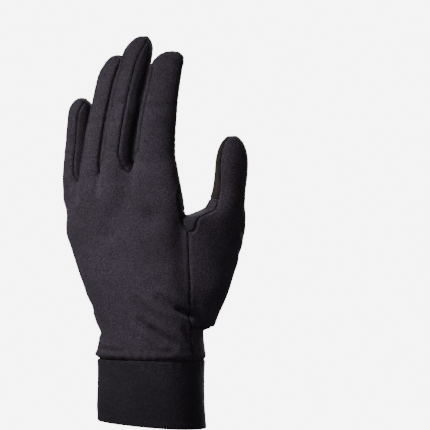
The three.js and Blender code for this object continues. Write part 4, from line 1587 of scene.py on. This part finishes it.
def stitch_rows(name, rows, yarn, pitch, length, thickness):
    """Sews rows of stitches. Each row is (points, directions out of the cloth)."""
    spots, outs, edges = [], [], []
    for line, out in rows:
        start = len(spots)
        spots += (line * MM).tolist()
        outs += out.tolist()
        edges += [(start + i, start + i + 1) for i in range(len(line) - 1)]
    mesh = bpy.data.meshes.new(name)
    mesh.from_pydata(spots, edges, [])
    layer = mesh.attributes.new("out", "FLOAT_VECTOR", "POINT")
    layer.data.foreach_set("vector", np.array(outs, np.float32).ravel())
    piece = bpy.data.objects.new(name, mesh)
    bpy.context.scene.collection.objects.link(piece)
    modifier = piece.modifiers.new("stitches", "NODES")
    modifier.node_group = STITCHES
    sizes = {"Pitch": pitch * MM, "Length": length * MM, "Thickness": thickness * MM}
    sizes |= {"Seed": STITCH_SEED, "Yarn": yarn}
    for item in STITCHES.interface.items_tree:
        if item.in_out == "INPUT" and item.name in sizes:
            modifier[item.identifier] = sizes[item.name]
    bake_modifiers(piece)
    return piece


skin_tree = BVHTree.FromPolygons(points.tolist(), tris.tolist())
STITCH_STEP = 1.0
NEAREST_PROBE = 0.8


def even_out(values, rounds):
    for _ in range(rounds):
        values[1:-1] = mix(values[1:-1], (values[:-2] + values[2:]) / 2, 0.5)
    return values


def sew_line(line, side_label, shift, lift):
    """A seam line moved sideways onto one panel, and lifted to lie on the cloth."""
    line = even_out(resample(line, STITCH_STEP)[0], 4)
    ahead = np.gradient(line, axis=0)
    ahead /= np.maximum(np.linalg.norm(ahead, axis=1), 1e-9)[:, None]
    spots, outs = [], []
    for spot, heading in zip(line, ahead):
        across = np.cross(heading, skin_tree.find_nearest(spot)[1])
        tests = []
        for sign in (1, -1):
            probe = skin_tree.find_nearest(spot + across * sign * max(shift, NEAREST_PROBE))
            tests.append((labels[probe[2]] == side_label, sign))
        target, normal, _, _ = skin_tree.find_nearest(spot + across * max(tests)[1] * shift)
        spots.append(np.array(target) + np.array(normal) * lift)
        outs.append(np.array(normal))
    return even_out(np.array(spots), 3), even_out(np.array(outs), 3)


def rows_of(pair_names, side_name, shift, lift=0.05, shortest=8):
    """Stitch rows beside every seam between two panels, on the side of one of them."""
    wanted = tuple(sorted(PANELS.index(name) for name in pair_names))
    rows = []
    for line in seams.get(wanted, []):
        spots = points[line]
        if np.linalg.norm(np.diff(spots, axis=0), axis=1).sum() > shortest:
            rows.append(sew_line(spots, PANELS.index(side_name), shift, lift))
    return rows


dark_rows = []
for strip in PANELS[2:5]:
    for panel in ("back_panel", "palm_panel"):
        dark_rows += rows_of((strip, panel), panel, 1.2)
for side, other in (
    ("back_panel", "thumb_outer_panel"),
    ("palm_panel", "back_panel"),
    ("palm_panel", "thumb_outer_panel"),
):
    dark_rows += rows_of((side, other), side, 1.3)
dark_rows += rows_of(("thumb_inner_panel", "thumb_outer_panel"), "thumb_outer_panel", 1.1)
pale_rows = rows_of(("palm_panel", "index_touch_patch"), "palm_panel", 1.0)
pale_rows += rows_of(("thumb_inner_panel", "thumb_touch_patch"), "thumb_inner_panel", 1.0)
# How far across the strip its two rows lie, and how far up they reach
SEWN_ACROSS = (0.09, 0.91)
SEWN_UP = (0.02, 0.97)
SEWN_POINTS = 40


def cuff_rows():
    """Stitches down both edges of the strip."""
    rows = []
    for across in SEWN_ACROSS:
        ups = np.linspace(*SEWN_UP, SEWN_POINTS)
        turn = np.radians(np.full_like(ups, mix(*STRIP_TURNS, across)))
        out = cuff_wave(turn, ups) + strip_out(np.full_like(ups, across), ups) + 0.08
        line = np.array([cuff_point(t, u, o) for t, u, o in zip(turn, ups, out)])
        normal = np.stack([np.cos(turn), np.sin(turn) * 1.3, 0 * turn], axis=1)
        rows.append((line, normal / np.linalg.norm(normal, axis=1)[:, None]))
    return rows


pieces["seam_stitches"] = stitch_rows("seam_stitches", dark_rows, dark_yarn, 2.2, 1.5, 0.6)
pieces["hem_stitches"] = stitch_rows("hem_stitches", pale_rows, pale_yarn, 2.4, 1.7, 0.5)
pieces["strip_stitches"] = stitch_rows("strip_stitches", cuff_rows(), dark_yarn, 2.6, 1.8, 0.4)

# Floor and light
FLOOR_Z = -160.0
FLOOR_RADIUS = 2200.0
FLOOR_SIDES = 96
FLOOR_GLOW = 3.0


def make_floor():
    turns = np.linspace(0, 2 * math.pi, FLOOR_SIDES, endpoint=False)
    spots = [(FLOOR_RADIUS * math.cos(a), FLOOR_RADIUS * math.sin(a), FLOOR_Z) for a in turns]
    finish = Finish("pale floor", Roughness=0.9, Specular_IOR_Level=0.2, Emission_Strength=FLOOR_GLOW)
    soft = finish.tint(finish.noise(finish.place(), 0.004), (0.86, 0.86, 0.87), (0.9, 0.9, 0.9))
    feed(finish.tree, finish.shader.inputs["Emission Color"], soft)
    floor = make_piece("floor", spots, [range(FLOOR_SIDES)], finish.dress(soft))
    floor.visible_diffuse = floor.visible_glossy = False


# Soft square lights: azimuth and elevation, distance and size in m, power in W, spread in degrees and the
# height in m that each is aimed at. The key light has a grid on it, which narrows its spread.
LIGHTS = {
    "key": (-28, 40, 0.7, 0.2, 0.2, 20, 0.125),
    "palm light": (192, 24, 1.2, 0.6, 20, 180, 0.13),
    "side light": (66, 15, 2.2, 1.2, 1.6, 180, 0.13),
}
BACKDROP_STRENGTH = 7.0
AMBIENT_STRENGTH = 0.16


def set_up_light():
    """A white backdrop to look at, a weak even light from all round, and three soft lights."""
    world = bpy.data.worlds.new("studio")
    bpy.context.scene.world = world
    world.use_nodes = True
    tree = world.node_tree
    for socket, value in (("Strength", AMBIENT_STRENGTH), ("Color", (1, 1, 1, 1))):
        tree.nodes["Background"].inputs[socket].default_value = value
    values = {"Strength": BACKDROP_STRENGTH, "Color": (1, 1, 1, 1)}
    backdrop = add_node(tree, "ShaderNodeBackground", None, values).outputs[0]
    seen = add_node(tree, "ShaderNodeLightPath").outputs["Is Camera Ray"]
    values = {0: seen, 1: tree.nodes["Background"].outputs[0], 2: backdrop}
    either = add_node(tree, "ShaderNodeMixShader", None, values)
    tree.links.new(either.outputs[0], tree.nodes["World Output"].inputs["Surface"])
    for name, (azimuth, elevation, distance, size, power, spread, aim_up) in LIGHTS.items():
        light = bpy.data.lights.new(name, "AREA")
        light.shape = "SQUARE"
        light.size = size
        light.energy = power
        light.spread = math.radians(spread)
        away = direction(azimuth, elevation)
        lamp = set_up(name, light, Vector((0, 0, aim_up)) + away * distance, away)
        lamp.visible_camera = False


make_floor()
set_up_light()

# Joins to the frame
STITCH_SLOTS = {"seam_stitches": "knit", "hem_stitches": "touch_patch", "strip_stitches": "strip"}
GOES_WITH = {
    "back_panel": ["seam_stitches"],
    "thumb_touch_patch": ["hem_stitches"],
    "cuff": ["label_tab"],
    "cuff_strip": ["strip_stitches"],
}
for name, piece in pieces.items():
    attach(piece, "root")
    if name in PARTS:
        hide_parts(name)
    PARTS[name][1] if name in PARTS else STITCH_SLOTS[name]
for name, (_, _, cut_size) in PARTS.items():
    if cut_size is None:
        continue
    width, length, area = cut_size
    [pieces[other] for other in GOES_WITH.get(name, [])]
